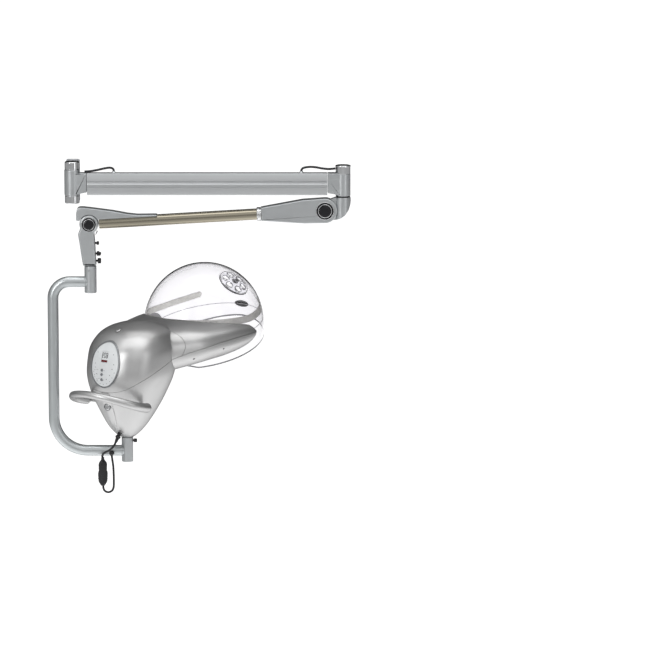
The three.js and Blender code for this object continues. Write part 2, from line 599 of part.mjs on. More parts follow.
const HANDLE_HALF = 106;
const HANDLE_STEPS = 16;
const GLAND_IN = [-28, 0, 21.7];
const GLAND_OUT = [-50, 0, -8];
const GLAND_R = 5.2;

const knobPoint = (out) => TOP_KNOB.map((v, i) => v + TOP_KNOB_AXIS[i] * out);

// A prism along the head's forward axis with an oval section.
function ovalPrism(z, halfW, halfH, x0, x1, y = 0) {
  const oval = new THREE.Shape();
  oval.absellipse(0, 0, halfW, halfH, 0, 2 * Math.PI);
  return solid(new THREE.ExtrudeGeometry(oval, { depth: x1 - x0, bevelEnabled: false, curveSegments: 16 })
    .rotateX(Math.PI / 2).rotateZ(Math.PI / 2).translate(x0, y, z));
}

const headBox = (x0, x1, y0, y1, z0, z1) => solid(box(x0, x1, y0, y1, z0, z1));

function shells() {
  const outer = bodySolid(0).add(forkSolid(0)).subtract(domeBlock(0.8));
  const inner = bodySolid(-WALL, 30).add(forkSolid(WALL)).subtract(domeBlock(WALL + 0.8));
  let shell = outer.subtract(inner);
  const cuts = [
    solid(headBar([0, 0, -5], [0, 0, 72], SOCKET_R + GAP, 24)),
    solid(headBar(GLAND_IN, GLAND_OUT, GLAND_R + GAP, 14)),
    headBox(-130, -60, -DISPLAY_W / 2, DISPLAY_W / 2, WINDOW_Z0, WINDOW_Z1),
    headBox(-130, -60, BUTTON_SIDE - 7, BUTTON_SIDE + 7, PANEL_Z - 47, PANEL_Z - 7),
    solid(headBar([-130, 0, POWER_Z], [-60, 0, POWER_Z], POWER_R + 0.5, 20)),
    solid(headBar(knobPoint(-12), knobPoint(12), 3.4, 16)),
  ];
  [-1, 1].forEach((s) => {
    cuts.push(solid(headBar([HANDLE_F, s * 55, HANDLE_Z], [HANDLE_F, s * 130, HANDLE_Z], 5.4, 16)));
    const sides = [s * 120, s * 172].sort((a, b) => a - b);
    cuts.push(headBox(DOME_F - 75, DOME_F - 15, ...sides, DOME_EQ - 7, DOME_EQ + 9));
  });
  cuts.forEach((cut) => { shell = shell.subtract(cut); });
  const above = shell.intersect(aboveSeam(GAP / 2));
  add('lower_shell', shell.subtract(aboveSeam(-GAP / 2)), 'silver', head);
  add('rear_cover', above.intersect(behindArc(-GAP / 2)), 'silver', head);
  add('fork_cover', above.subtract(behindArc(GAP / 2)), 'silver', head);
}
shells();

function controls() {
  const skin = bodySolid(2.6).subtract(bodySolid(GAP));
  let panel = skin.intersect(ovalPrism(PANEL_Z, PANEL_HALF_W, PANEL_HALF_H, -150, -40));
  panel = panel.subtract(headBox(-150, -60, -DISPLAY_W / 2, DISPLAY_W / 2, WINDOW_Z0, WINDOW_Z1));
  Object.values(BUTTONS).forEach((dz) => {
    const z = PANEL_Z + dz;
    panel = panel.subtract(solid(headBar([-150, BUTTON_SIDE, z], [-60, BUTTON_SIDE, z], BUTTON_R + 0.3, 20)));
  });
  add('control_panel', panel, 'panel', head);
  const face = rearPoint(PANEL_Z + DISPLAY_Z, 1.6);
  add('display', box(face, face + 4, -DISPLAY_W / 2 + GAP, DISPLAY_W / 2 - GAP, WINDOW_Z0 + GAP,
    WINDOW_Z1 - GAP), 'display', head);
  Object.entries(BUTTONS).forEach(([name, dz]) => {
    const z = PANEL_Z + dz;
    const x = rearPoint(z, 3.8);
    add(name, headBar([x, BUTTON_SIDE, z], [x + 5, BUTTON_SIDE, z], BUTTON_R, 20), 'panel', head);
  });
  add('control_board', headBox(-70, -68, -32, 32, PANEL_Z - 48, PANEL_Z + 36), 'greyBeige', head);
  const keyHole = solid(headBar([-150, 0, POWER_Z], [-60, 0, POWER_Z], POWER_R + 0.5, 28));
  const strip = skin.intersect(headBox(-150, -34, -SPINE_HALF_W, SPINE_HALF_W, 36, 136));
  add('spine_strip', strip.subtract(keyHole), 'silver', head);
  const x = rearPoint(POWER_Z, 5);
  add('power_button', headBar([x, 0, POWER_Z], [x + 14, 0, POWER_Z], POWER_R, 28), 'black', head);
  const cap = solid(headBar(knobPoint(0.8), knobPoint(4.2), 8, 20, 7));
  add('top_knob', solid(headBar(knobPoint(-8), knobPoint(3), 3, 16)).add(cap), 'silver', head);
}
controls();

function handle() {
  const half = [[HANDLE_F, HANDLE_HALF, 0], [HANDLE_F - 30, HANDLE_HALF + 4, 6],
    [HANDLE_F - 64, HANDLE_HALF, 16], [HANDLE_F - 98, HANDLE_HALF - 26, 30],
    [HANDLE_F - 120, HANDLE_HALF - 64, 40]];
  const left = half.map(([f, y, dz]) => v3(f, y, HANDLE_Z + dz));
  const right = half.map(([f, y, dz]) => v3(f, -y, HANDLE_Z + dz)).reverse();
  const curve = new THREE.CatmullRomCurve3([...left, v3(HANDLE_F - 128, 0, HANDLE_Z + 44), ...right]);
  const rings = curve.getPoints(HANDLE_STEPS).map((p, i) => {
    const along = curve.getTangent(i / HANDLE_STEPS);
    const side = v3(0, 0, 1).cross(along).normalize();
    const up = along.clone().cross(side);
    const radius = HANDLE_R + HANDLE_FLARE * (1 - 2 * i / HANDLE_STEPS) ** 2;
    return Array.from({ length: 10 }, (_, k) => {
      const t = (k / 10) * 2 * Math.PI;
      return p.clone().addScaledVector(side, radius * Math.cos(t)).addScaledVector(up, radius * Math.sin(t));
    });
  });
  const studs = [-1, 1].map((s) =>
    solid(headBar([HANDLE_F, s * 68, HANDLE_Z], [HANDLE_F, s * HANDLE_HALF, HANDLE_Z], 5, 16)));
  const inside = bodySolid(GAP).subtract(studs[0]).subtract(studs[1]);
  add('handle', solid(loft(rings)).add(studs[0]).add(studs[1]).subtract(inside), 'silver', head);
}
handle();

// ---------------------------------------------------------------- dome and its fittings
function dome() {
  const across = Math.sqrt(1 - ((VENT_Z - DOME_EQ) / DOME_C) ** 2);
  const centre = v3(DOME_F + DOME_A * across, 0, VENT_Z);
  const outward = v3(across / DOME_A, 0, (VENT_Z - DOME_EQ) / DOME_C ** 2).normalize();
  const turn = new THREE.Quaternion().setFromUnitVectors(v3(0, 0, 1), outward);
  const place = new THREE.Matrix4().compose(centre, turn, v3(1, 1, 1));
  const upright = (z0, z1, radius, sides, x = 0, y = 0) => bar(v3(x, y, z0), v3(x, y, z1), radius, sides);
  const dish = (radius, top, thick) => {
    const sag = radius ** 2 / (2 * 172);
    const profile = [[0, top - thick], [radius * 0.6, top - thick - sag * 0.36], [radius, top - thick - sag],
      [radius, top - sag], [radius * 0.6, top - sag * 0.36], [0, top]];
    const outline = profile.map(([r, z]) => new THREE.Vector2(r, z));
    return solid(new THREE.LatheGeometry(outline, 20).rotateX(Math.PI / 2));
  };
  const petals = (sheet) => {
    let cut = sheet;
    for (let i = 0; i < VENT_PETALS; i += 1) {
      const t = (i / VENT_PETALS) * 2 * Math.PI;
      cut = cut.subtract(solid(upright(-20, 20, 10.5, 16, 28.5 * Math.cos(t), 28.5 * Math.sin(t))));
    }
    return cut;
  };
  const inPlace = (manifold) => geometryOf(manifold).applyMatrix4(place);
  const mouth = solid(inPlace(solid(upright(-22, 15, VENT_R + 0.5, 36))));
  add('dome', domeShell().subtract(mouth), 'clear', head);
  const plate = petals(dish(VENT_R, 1.2, 3)).subtract(solid(upright(-9, 9, 5 + GAP, 20)));
  add('vent_plate', inPlace(plate), 'clear', head);
  const stem = solid(upright(-4, 5, 5, 20)).add(solid(upright(1.9, 6, 10, 20)));
  add('vent_shutter', inPlace(petals(dish(VENT_R - 5, -2.4, 2.2)).add(stem)), 'black', head);
  const badgeSkin = domeBlock(3).subtract(domeBlock(0.5));
  add('badge', badgeSkin.intersect(ovalPrism(BADGE_Z, 24, 9, DOME_F + 100, DOME_F + 200)), 'black', head);
  const lining = domeBlock(-DOME_T - 0.4).subtract(domeBlock(-DOME_T - 3.4));
  const line = new THREE.SplineCurve(STRIP_LINE.map(([f, z]) => new THREE.Vector2(f, z))).getPoints(14);
  const edge = (up) => line.map((p) => new THREE.Vector2(p.x, p.y + up));
  const band = solid(new THREE.ExtrudeGeometry(new THREE.Shape([...edge(-7.5), ...edge(7.5).reverse()]),
    { depth: 400, bevelEnabled: false }).rotateX(Math.PI / 2).translate(0, 200, 0));
  [['left', 12, 170], ['right', -170, -12]].forEach(([name, y0, y1]) => {
    const half = headBox(DOME_F - 180, DOME_F + DOME_A, y0, y1, DOME_EQ - 20, DOME_EQ + 100);
    add(`side_strip_${name}`, lining.intersect(band).intersect(half), 'greyBeige', head);
  });
}
dome();

// ---------------------------------------------------------------- blower and heater
const BLOWER_F = 22;
const upHead = (x, z0, z1, radius, sides) => solid(headBar([x, 0, z0], [x, 0, z1], radius, sides));

function blower() {
  const shaftHole = upHead(BLOWER_F, 150, 230, 4 + GAP, 12);
  const can = upHead(BLOWER_F, 132, 200, 34, 24).add(upHead(BLOWER_F, 120, 140, 50, 24));
  add('motor', can.subtract(shaftHole), 'steel', head);
  let wheel = upHead(BLOWER_F, 207, 210, 70, 24)
    .add(upHead(BLOWER_F, 205, 232, 12, 16)).add(upHead(BLOWER_F, 156, 220, 4, 12));
  for (let i = 0; i < 10; i += 1) {
    const blade = headBox(34, 68, -1, 1, 208, 238).rotate([0, 0, i * 36]).translate([BLOWER_F, 0, 0]);
    wheel = wheel.add(blade);
  }
  add('impeller', wheel, 'black', head);
  let heater = headBox(114, 142, -58, 58, 234, 282);
  [-40, -20, 0, 20, 40].forEach((y) => {
    heater = heater.subtract(headBox(100, 150, y - 7, y + 7, 240, 276));
  });
  add('heater', heater, 'greyBeige', head);
}
blower();

// ---------------------------------------------------------------- hanging lead with its inline connector
const CORD_R = 3;
const LEAD_ROUTE = [[115.5, -88.2, -716.4], [110.5, -93.5, -726], [102.5, -96.5, -734], [93.5, -96.2, -740],
  [85.8, -93.3, -744.5], [80.6, -90, -749], [78.4, -88.1, -754.5], [78.3, -88, -757.9]];
const LOOP_ROUTE = [[80, -87, -838.3], [80.2, -87, -843.5], [82.1, -87, -850.4], [87.1, -86.6, -855.4],
  [94.2, -85.8, -857.4], [101.3, -84.4, -855.4], [106.3, -82.8, -850.4], [108.4, -81, -843],
  [108.9, -78.5, -825], [108.4, -75.5, -805], [107.2, -73, -785], [105, -71.5, -770], [103.4, -71, -758]];

function cord() {
  const gland = solid(headBar(GLAND_IN, GLAND_OUT, GLAND_R, 14, CORD_R + 0.6));
  const collarTop = v3(...GLAND_IN).lerp(v3(...GLAND_OUT), 0.52);
  const collarLow = v3(...GLAND_IN).lerp(v3(...GLAND_OUT), 0.66);
  add('cord_gland', gland.add(solid(bar(collarTop, collarLow, 7.5, 16, 6.5))), 'black', head);
  add('cord_lead', lead(LEAD_ROUTE, CORD_R, 8), 'black');
  const shape = new THREE.Shape();
  shape.moveTo(74.3, -758.3);
  shape.lineTo(82.3, -758.3);
  shape.lineTo(90, -776);
  shape.lineTo(88.5, -797);
  shape.lineTo(92, -806);
  shape.lineTo(90, -826);
  shape.lineTo(84.5, -838);
  shape.lineTo(75.5, -838);
  shape.lineTo(68.5, -826);
  shape.lineTo(67, -806);
  shape.lineTo(69.5, -797);
  shape.lineTo(67, -776);
  add('cord_connector', plate(shape, -96, -78), 'black');
  add('cord_loop', lead(LOOP_ROUTE, CORD_R, 22), 'black');
}
cord();

export default dryer;
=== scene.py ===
"""Wall-mounted salon hood dryer: the looks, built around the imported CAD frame. Blender 4.5."""
import json
import math

import bmesh
import bpy
import numpy as np
from mathutils import Matrix, Vector


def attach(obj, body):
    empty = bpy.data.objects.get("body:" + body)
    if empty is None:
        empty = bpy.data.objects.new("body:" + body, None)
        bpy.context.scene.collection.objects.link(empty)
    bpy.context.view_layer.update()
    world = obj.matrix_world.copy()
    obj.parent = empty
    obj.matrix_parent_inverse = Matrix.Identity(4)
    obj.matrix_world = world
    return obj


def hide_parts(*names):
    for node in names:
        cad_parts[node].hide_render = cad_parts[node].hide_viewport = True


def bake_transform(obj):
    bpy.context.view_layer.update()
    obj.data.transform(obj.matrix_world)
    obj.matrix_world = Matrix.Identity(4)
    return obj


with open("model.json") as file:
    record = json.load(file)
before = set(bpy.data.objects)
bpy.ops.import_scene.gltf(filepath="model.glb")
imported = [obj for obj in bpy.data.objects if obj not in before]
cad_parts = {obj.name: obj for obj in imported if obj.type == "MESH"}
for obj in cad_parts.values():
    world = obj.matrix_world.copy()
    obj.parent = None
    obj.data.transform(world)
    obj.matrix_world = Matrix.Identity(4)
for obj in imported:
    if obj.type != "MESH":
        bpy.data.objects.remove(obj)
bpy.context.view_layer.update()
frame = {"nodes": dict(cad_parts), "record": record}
NODES = frame["nodes"]
MM = 0.001
SCENE = bpy.context.scene

# ---------------------------------------------------------------- dimensions, in millimetres, as in the CAD
PLANE_Y = -48.0
ELBOW_X = 740.8
ARM_X, ARM_Z = 691.6, -77.0
WRIST_X, WRIST_Z = 45.4, -114.7
SLOPE = math.atan2(ARM_Z - WRIST_Z, ARM_X - WRIST_X)
FRAME_X, FRAME_LEFT_X = 48.0, -55.8
FRAME_TOP_Z, FRAME_LOW_Z = -275.5, -747.0
STUB_X, BODY_Z, HOOD_YAW = 145.8, -708.0, 53.0
WALL = 3.5
DOME_F, DOME_A, DOME_B = 342.0, 178.0, 166.0
DOME_EQ, DOME_C, DOME_LOW_C, DOME_T = 268.0, 176.0, 300.0, 3.0
VENT_Z, VENT_R, BADGE_Z, PANEL_Z = 374.0, 46.0, 305.0, 214.0
STRIP_HALF, STRIP_TIP, SLOT_CLEAR = 9.6, 7.2, 0.6
STRIP_LINE = [(160, 298), (230, 298), (284, 299), (342, 301), (386, 308), (427, 317), (462, 330)]

HEAD = Matrix.Translation((STUB_X, PLANE_Y, BODY_Z)) @ Matrix.Rotation(math.radians(HOOD_YAW), 4, "Z")


# ---------------------------------------------------------------- camera
CAMERA_TARGET, CAMERA_TILT, CAMERA_DISTANCE = (0.6916, -0.048, -0.396), math.radians(9.6), 12.0
SENSOR_WIDTH, PICTURE_WIDTH = 36.0, 1.7875      # the sensor in mm, the view at the target in metres


def make_camera():
    data = bpy.data.cameras.new("camera")
    camera = bpy.data.objects.new("camera", data)
    SCENE.collection.objects.link(camera)
    back = Vector((0, -math.cos(CAMERA_TILT), math.sin(CAMERA_TILT)))
    camera.location = Vector(CAMERA_TARGET) + back * CAMERA_DISTANCE
    camera.rotation_euler = (-back).to_track_quat("-Z", "Y").to_euler()
    data.sensor_width = SENSOR_WIDTH
    data.lens = SENSOR_WIDTH * CAMERA_DISTANCE / PICTURE_WIDTH
    data.clip_start, data.clip_end = 0.1, 60.0
    SCENE.camera = camera


make_camera()


# ---------------------------------------------------------------- outline and mesh helpers (millimetres)
def unit(v):
    return v / np.linalg.norm(v)


def rounded(points, radius, steps=5, closed=False):
    """A polyline whose corners are turned on arcs; radius is one number or one for each corner."""
    pts = [np.array(p, float) for p in points]
    radii = radius if hasattr(radius, "__len__") else [radius] * len(pts)
    out = []
    for i, p in enumerate(pts):
        if radii[i] <= 0 or (not closed and i in (0, len(pts) - 1)):
            out.append(p)
            continue
        a, b = pts[i - 1] - p, pts[(i + 1) % len(pts)] - p
        la, lb = np.linalg.norm(a), np.linalg.norm(b)
        a, b = a / la, b / lb
        half = math.acos(max(-1.0, min(1.0, float(a @ b)))) / 2
        if half > math.radians(87):
            out.append(p)
            continue
        reach = min(radii[i] / math.tan(half), 0.48 * la, 0.48 * lb)
        r = reach * math.tan(half)
        centre = p + unit(a + b) * (r / math.sin(half))
        start, end = p + a * reach - centre, p + b * reach - centre
        sweep_angle = math.acos(max(-1.0, min(1.0, float(start @ end) / (r * r))))
        for k in range(steps + 1):
            t = k / steps
            w = (math.sin((1 - t) * sweep_angle) * start + math.sin(t * sweep_angle)
                * end) / math.sin(sweep_angle)
            out.append(centre + w)
    return out


def contour(points, radius, steps=5):
    return rounded(points, radius, steps, True)


def arc(cx, cy, r, start, end, steps=24):
    return [(cx + r * math.cos(math.radians(start + (end - start) * k / steps)),
        cy + r * math.sin(math.radians(start + (end - start) * k / steps))) for k in range(steps + 1)]


def around(sides):
    """Cosine and sine at even steps round a circle."""
    return [(math.cos(2 * math.pi * i / sides), math.sin(2 * math.pi * i / sides)) for i in range(sides)]


def oval(cx, cy, rx, ry, steps=72):
    return [(cx + rx * c, cy + ry * s) for c, s in around(steps)]


def through(points, steps):
    """Centripetal Catmull-Rom curve through points of any dimension."""
    p = np.asarray(points, float)
    p = np.vstack([2 * p[0] - p[1], p, 2 * p[-1] - p[-2]])
    out = []
    for i in range(1, len(p) - 2):
        q = p[i - 1:i + 3]
        t = np.concatenate([[0], np.cumsum(np.sqrt(np.linalg.norm(np.diff(q, axis=0), axis=1)))])
        for x in np.linspace(t[1], t[2], steps, endpoint=False):
            a = [((t[k + 1] - x) * q[k] + (x - t[k]) * q[k + 1]) / (t[k + 1] - t[k]) for k in range(3)]
            b = [((t[k + 2] - x) * a[k] + (x - t[k]) * a[k + 1]) / (t[k + 2] - t[k]) for k in range(2)]
            out.append(((t[2] - x) * b[0] + (x - t[1]) * b[1]) / (t[2] - t[1]))
    out.append(p[-2])
    return np.array(out)


def make(name, points, faces, matrix=None):
    """A mesh object from points in millimetres, with its faces turned outward."""
    v = np.asarray(points, float)
    if matrix is not None:
        m = np.array(matrix)
        v = v @ m[:3, :3].T + m[:3, 3]
    mesh = bpy.data.meshes.new(name)
    mesh.from_pydata((v * MM).tolist(), [], faces)
    bm = bmesh.new()
    bm.from_mesh(mesh)
    bmesh.ops.remove_doubles(bm, verts=bm.verts, dist=1e-7)
    bmesh.ops.recalc_face_normals(bm, faces=bm.faces)
    if bm.calc_volume(signed=True) < 0:
        bmesh.ops.reverse_faces(bm, faces=bm.faces)
    bm.to_mesh(mesh)
    bm.free()
    obj = bpy.data.objects.new(name, mesh)
    SCENE.collection.objects.link(obj)
    return obj


def skin(rings, poles=(False, False)):
    """Points and faces of a closed skin over rings; an end is a flat cap, or a pole at its middle."""
    n = len(rings[0])
    points = [p for ring in rings for p in ring]
    faces = [(k * n + i, k * n + (i + 1) % n, (k + 1) * n + (i + 1) % n,
        (k + 1) * n + i) for k in range(len(rings) - 1) for i in range(n)]
    for pole, start, step in ((poles[0], 0, -1), (poles[1], (len(rings) - 1) * n, 1)):
        if pole is False:
            loop = list(range(start, start + n))
            faces.append(tuple(loop[::step]))
        else:
            points.append(np.mean(rings[0 if start == 0 else -1], axis=0) if pole is True else np.array(pole))
            c = len(points) - 1
            faces += [(start + i, start + (i + 1) % n, c)[::step] for i in range(n)]
    return points, faces


def wrapped(rings):
    """Points and faces of a closed band, whose last ring joins its first."""
    m, n = len(rings), len(rings[0])
    faces = [(k * n + i, k * n + (i + 1) % n, (k + 1) % m * n + (i + 1) % n,
        (k + 1) % m * n + i) for k in range(m) for i in range(n)]
    return [p for ring in rings for p in ring], faces


def turned(name, profile, matrix=None, sides=96):
    """A turned piece from [radius, height] pairs, about its own upright axis."""
    low, high = profile[0], profile[-1]
    rows = [p for p in profile if p[0] > 1e-6]
    rings = [[(r * c, r * s, z) for c, s in around(sides)] for r, z in rows]
    poles = [(0, 0, end[1]) if end[0] <= 1e-6 else False for end in (low, high)]
    return make(name, *skin(rings, poles), matrix)


def hollow(name, profile, matrix=None, sides=96):
    """A turned ring from a closed [radius, height] outline."""
    return make(name, *wrapped([[(r * c, r * s, z) for r, z in profile] for c, s in around(sides)]), matrix)


def slab(name, outline, y0, y1, edge=1.5, matrix=None, steps=4):
    """An X-Z outline with thickness along Y and rounded edges."""
    shape = np.array(outline, float)
    keep = np.linalg.norm(shape - np.roll(shape, 1, axis=0), axis=1) > 1e-4
    shape = shape[keep]
    before, after = shape - np.roll(shape, 1, axis=0), np.roll(shape, -1, axis=0) - shape
    area = 0.5 * np.sum(shape[:, 0] * np.roll(shape[:, 1], -1) - np.roll(shape[:, 0], -1) * shape[:, 1])
    turn = 1.0 if area > 0 else -1.0
    na = turn * np.stack([-before[:, 1], before[:, 0]], 1) / np.linalg.norm(before, axis=1)[:, None]
    nb = turn * np.stack([-after[:, 1], after[:, 0]], 1) / np.linalg.norm(after, axis=1)[:, None]
    mid = na + nb
    mid /= np.maximum(np.sum(mid * na, axis=1), 0.35)[:, None]
    rings = []
    for end, sign in ((y0, 1), (y1, -1)):
        part = []
        for k in range(steps + 1):
            a = math.pi / 2 * k / steps
            p = shape + mid * edge * (1 - math.sin(a))
            part.append([(x, end + sign * edge * (1 - math.cos(a)), z) for x, z in p])
        rings += part if sign > 0 else part[::-1]
    if edge <= 0:
        rings = [[(x, y0, z) for x, z in shape], [(x, y1, z) for x, z in shape]]
    return make(name, *skin(rings), matrix)


def frames(path):
    """Tangent, side and up vectors along a path, without twist."""
    path = np.asarray(path, float)
    tangents = np.gradient(path, axis=0)
    tangents /= np.linalg.norm(tangents, axis=1)[:, None]
    side = np.cross([0, 0, 1.0], tangents[0])
    if np.linalg.norm(side) < 0.1:
        side = np.array([1.0, 0, 0])
    out = []
    for t in tangents:
        side = unit(side - t * (side @ t))
        out.append((t, side, np.cross(t, side)))
    return out


def tube(name, path, radius, sides=32, ends=0.0):
    """A round bar along a path; radius is one number or one for each point. ends rounds its two ends."""
    path = np.asarray(path, float)
    radii = np.broadcast_to(np.asarray(radius, float), (len(path),)).copy()
    if ends > 0:
        along = np.concatenate([[0], np.cumsum(np.linalg.norm(np.diff(path, axis=0), axis=1))])
        short = np.minimum(along, along[-1] - along)
        k = np.clip(short / ends, 0, 1)
        radii *= 0.12 + 0.88 * np.sqrt(np.clip(1 - (1 - k) ** 2, 0, 1))
    rings = [[p + r * (c * side + s * up) for c, s in around(sides)] for p, (_, side, up),
        r in zip(path, frames(path), radii)]
    return make(name, *skin(rings, (ends > 0, ends > 0)))


def block(name, x0, x1, y0, y1, z0, z1, edge=1.0):
    corners = [(x0, z0), (x1, z0), (x1, z1), (x0, z1)]
    return slab(name, contour(corners, edge * 1.5, 4) if edge > 0 else corners, y0, y1, edge)


def drum(name, start, end, radius, sides=64):
    """A plain cutting cylinder between two points."""
    return tube(name, [start, end], radius, sides)


def plank(name, outline, half, edge=1.5, steps=4):
    """A slab centred on the plane of the arms."""
    return slab(name, outline, PLANE_Y - half, PLANE_Y + half, edge, steps=steps)


def axle(x, z, radius, half=30, sides=64):
    """A cutting cylinder square to the plane of the arms."""
    return drum("axle", (x, PLANE_Y - half, z), (x, PLANE_Y + half, z), radius, sides)


def beam(name, x0, x1, half, z0, z1, edge=0.0):
    """A block centred on the plane of the arms."""
    return block(name, x0, x1, PLANE_Y - half, PLANE_Y + half, z0, z1, edge)


def lathed(name, profile, radii, steps=4, matrix=None, sides=96):
    """A turned piece whose profile has rounded corners."""
    return turned(name, rounded(profile, radii, steps), matrix, sides)


def banded(name, profile, radii, steps=4, matrix=None, sides=96):
    """A turned ring whose closed outline has rounded corners."""
    return hollow(name, contour(profile, radii, steps), matrix, sides)


def cut(obj, *tools, how="DIFFERENCE"):
    """Applies a boolean with each tool in turn and removes the tools."""
    for tool in tools:
        modifier = obj.modifiers.new("cut", "BOOLEAN")
        modifier.operation, modifier.solver, modifier.object = how, "MANIFOLD", tool
    bpy.context.view_layer.update()
    mesh = bpy.data.meshes.new_from_object(obj.evaluated_get(bpy.context.evaluated_depsgraph_get()))
    obj.modifiers.clear()
    obj.data = mesh
    for tool in tools:
        bpy.data.objects.remove(tool)
    return obj


def copy_of(obj, name):
    other = bpy.data.objects.new(name, obj.data.copy())
    SCENE.collection.objects.link(other)
    return other


def joined(name, *objs):
    """Several meshes as one object, without merging their volumes."""
    bm = bmesh.new()
    for o in objs:
        bm.from_mesh(o.data)
        bpy.data.objects.remove(o)
    mesh = bpy.data.meshes.new(name)
    bm.to_mesh(mesh)
    bm.free()
    obj = bpy.data.objects.new(name, mesh)
    SCENE.collection.objects.link(obj)
    return obj


def upright(x, y=PLANE_Y, z=0.0):
    return Matrix.Translation((x, y, z))


def facing(origin, direction):
    """A matrix that turns +Z to a direction, at an origin."""
    return Matrix.Translation(origin) @ Vector((0, 0,
        1)).rotation_difference(Vector(direction)).to_matrix().to_4x4()


# ---------------------------------------------------------------- materials
def material(name, base, metallic=0.0, roughness=0.4, spread=0.05, cloud=9.0, grain=700.0, depth=0.004,
        rough_spread=0.05, stretch=(1, 1, 1), coat=0.0, coat_roughness=0.1, transmission=0.0, ior=1.45,
        edge=None):
    """A painted, plated or moulded finish: clouded colour, uneven gloss and a fine grain."""
    mat = bpy.data.materials.new(name)
    mat.use_nodes = True
    nodes, links = mat.node_tree.nodes, mat.node_tree.links
    shader = nodes["Principled BSDF"]
    shader.inputs["Metallic"].default_value = metallic
    shader.inputs["IOR"].default_value = ior
    shader.inputs["Coat Weight"].default_value = coat
    shader.inputs["Coat Roughness"].default_value = coat_roughness
    shader.inputs["Transmission Weight"].default_value = transmission
    if edge is not None:
        shader.inputs["Specular Tint"].default_value = (edge, edge, edge * 1.02, 1)
    coords = nodes.new("ShaderNodeTexCoord")
    place = nodes.new("ShaderNodeMapping")
    place.inputs["Scale"].default_value = stretch
    links.new(coords.outputs["Object"], place.inputs["Vector"])

    def noise(scale, detail, rough=0.55):
        node = nodes.new("ShaderNodeTexNoise")
        node.inputs["Scale"].default_value = scale
        node.inputs["Detail"].default_value = detail
        node.inputs["Roughness"].default_value = rough
        links.new(place.outputs["Vector"], node.inputs["Vector"])
        return node

    cloudy = noise(cloud, 5.0)
    ramp = nodes.new("ShaderNodeValToRGB")
    low = [c * (1 - spread) for c in base] + [1]
    high = [min(1.0, c * (1 + spread)) for c in base] + [1]
    ramp.color_ramp.elements[0].position, ramp.color_ramp.elements[0].color = 0.3, low
    ramp.color_ramp.elements[1].position, ramp.color_ramp.elements[1].color = 0.7, high
    links.new(cloudy.outputs["Fac"], ramp.inputs["Fac"])
    links.new(ramp.outputs["Color"], shader.inputs["Base Color"])
    smear = noise(cloud * 4.3, 6.0, 0.65)
    gloss = nodes.new("ShaderNodeMapRange")
    gloss.inputs["From Min"].default_value, gloss.inputs["From Max"].default_value = 0.3, 0.7
    gloss.inputs["To Min"].default_value = max(0.0, roughness - rough_spread)
    gloss.inputs["To Max"].default_value = roughness + rough_spread
    links.new(smear.outputs["Fac"], gloss.inputs["Value"])
    links.new(gloss.outputs["Result"], shader.inputs["Roughness"])
    if depth > 0:
        fine = noise(grain, 3.0)
        bump = nodes.new("ShaderNodeBump")
        bump.inputs["Strength"].default_value = 1.0
        bump.inputs["Distance"].default_value = depth * MM
        links.new(fine.outputs["Fac"], bump.inputs["Height"])
        links.new(bump.outputs["Normal"], shader.inputs["Normal"])
    return mat


M = {"cast_silver": material("cast_silver", (0.56, 0.58, 0.59), 0.85, 0.36, 0.05, 14, 1600, 0.010, 0.05,
    edge=0.25), "tube_silver": material("tube_silver", (0.56, 0.59, 0.60), 0.88, 0.32, 0.04, 10, 1800, 0.008,
    0.04, edge=0.2), "shell_silver": material("shell_silver", (0.57, 0.57, 0.57), 0.85, 0.36, 0.03, 7, 2200,
    0.010, 0.035, edge=0.15), "aluminium": material("aluminium", (0.57, 0.585, 0.595), 0.90, 0.36, 0.05, 30,
    900, 0.010, 0.06, stretch=(0.03, 1, 1), edge=0.12),
    "chrome": material("chrome", (0.74, 0.75, 0.76), 1.0, 0.07, 0.02, 12, 500, 0.001, 0.02, edge=0.2),
    "nickel_tube": material("nickel_tube", (0.36, 0.33, 0.26), 1.0, 0.13, 0.03, 12, 800, 0.002, 0.02,
    stretch=(0.05, 1, 1)), "steel": material("steel", (0.50, 0.51, 0.53), 1.0, 0.36, 0.08, 40, 900, 0.012,
    0.08), "black_plastic": material("black_plastic", (0.016, 0.016, 0.018), 0.0, 0.42, 0.15, 40, 1400, 0.020,
    0.08), "black_gloss": material("black_gloss", (0.008, 0.008, 0.010), 0.0, 0.22, 0.15, 30, 900, 0.003,
    0.04), "clear_shell": material("clear_shell", (0.955, 0.95, 0.965), 0.0, 0.025, 0.01, 5, 60, 0.0, 0.012,
    transmission=1.0, ior=1.35), "grey_strip": material("grey_strip", (0.90, 0.89, 0.85), 0.0, 0.45, 0.10, 45,
    700, 0.02, 0.08), "panel_face": material("panel_face", (0.74, 0.76, 0.77), 0.0, 0.33, 0.03, 30, 1500,
    0.006, 0.05, coat=0.2), "display_window": material("display_window", (0.030, 0.012, 0.012), 0.0, 0.10,
    0.1, 60, 500, 0.0, 0.03, coat=0.5), "board": material("board", (0.16, 0.22, 0.13), 0.0, 0.55, 0.25, 70,
    600, 0.03, 0.1),}
RED_LENS = material("red_lens", (0.13, 0.006, 0.010), 0.0, 0.2, 0.1, 60, 500, 0.0, 0.03, coat=0.5)
PRINT_GREY = material("print_grey", (0.05, 0.05, 0.055), 0.0, 0.5, 0.1, 60, 900, 0.0, 0.05)
BEZEL = material("bezel", (0.30, 0.31, 0.32), 0.85, 0.30, 0.05, 20, 1500, 0.004, 0.05, coat=0.3)
KEY_GREY = material("key_grey", (0.20, 0.21, 0.22), 0.0, 0.35, 0.08, 50, 1200, 0.008, 0.05, coat=0.2)
POWER_GREY = material("power_silver", (0.62, 0.63, 0.64), 1.0, 0.10, 0.04, 30, 900, 0.002, 0.03)
SMOKE = material("smoke_clear", (0.86, 0.86, 0.89), 0.0, 0.06, 0.02, 20, 300, 0.0, 0.03, transmission=1.0,
    ior=1.35)
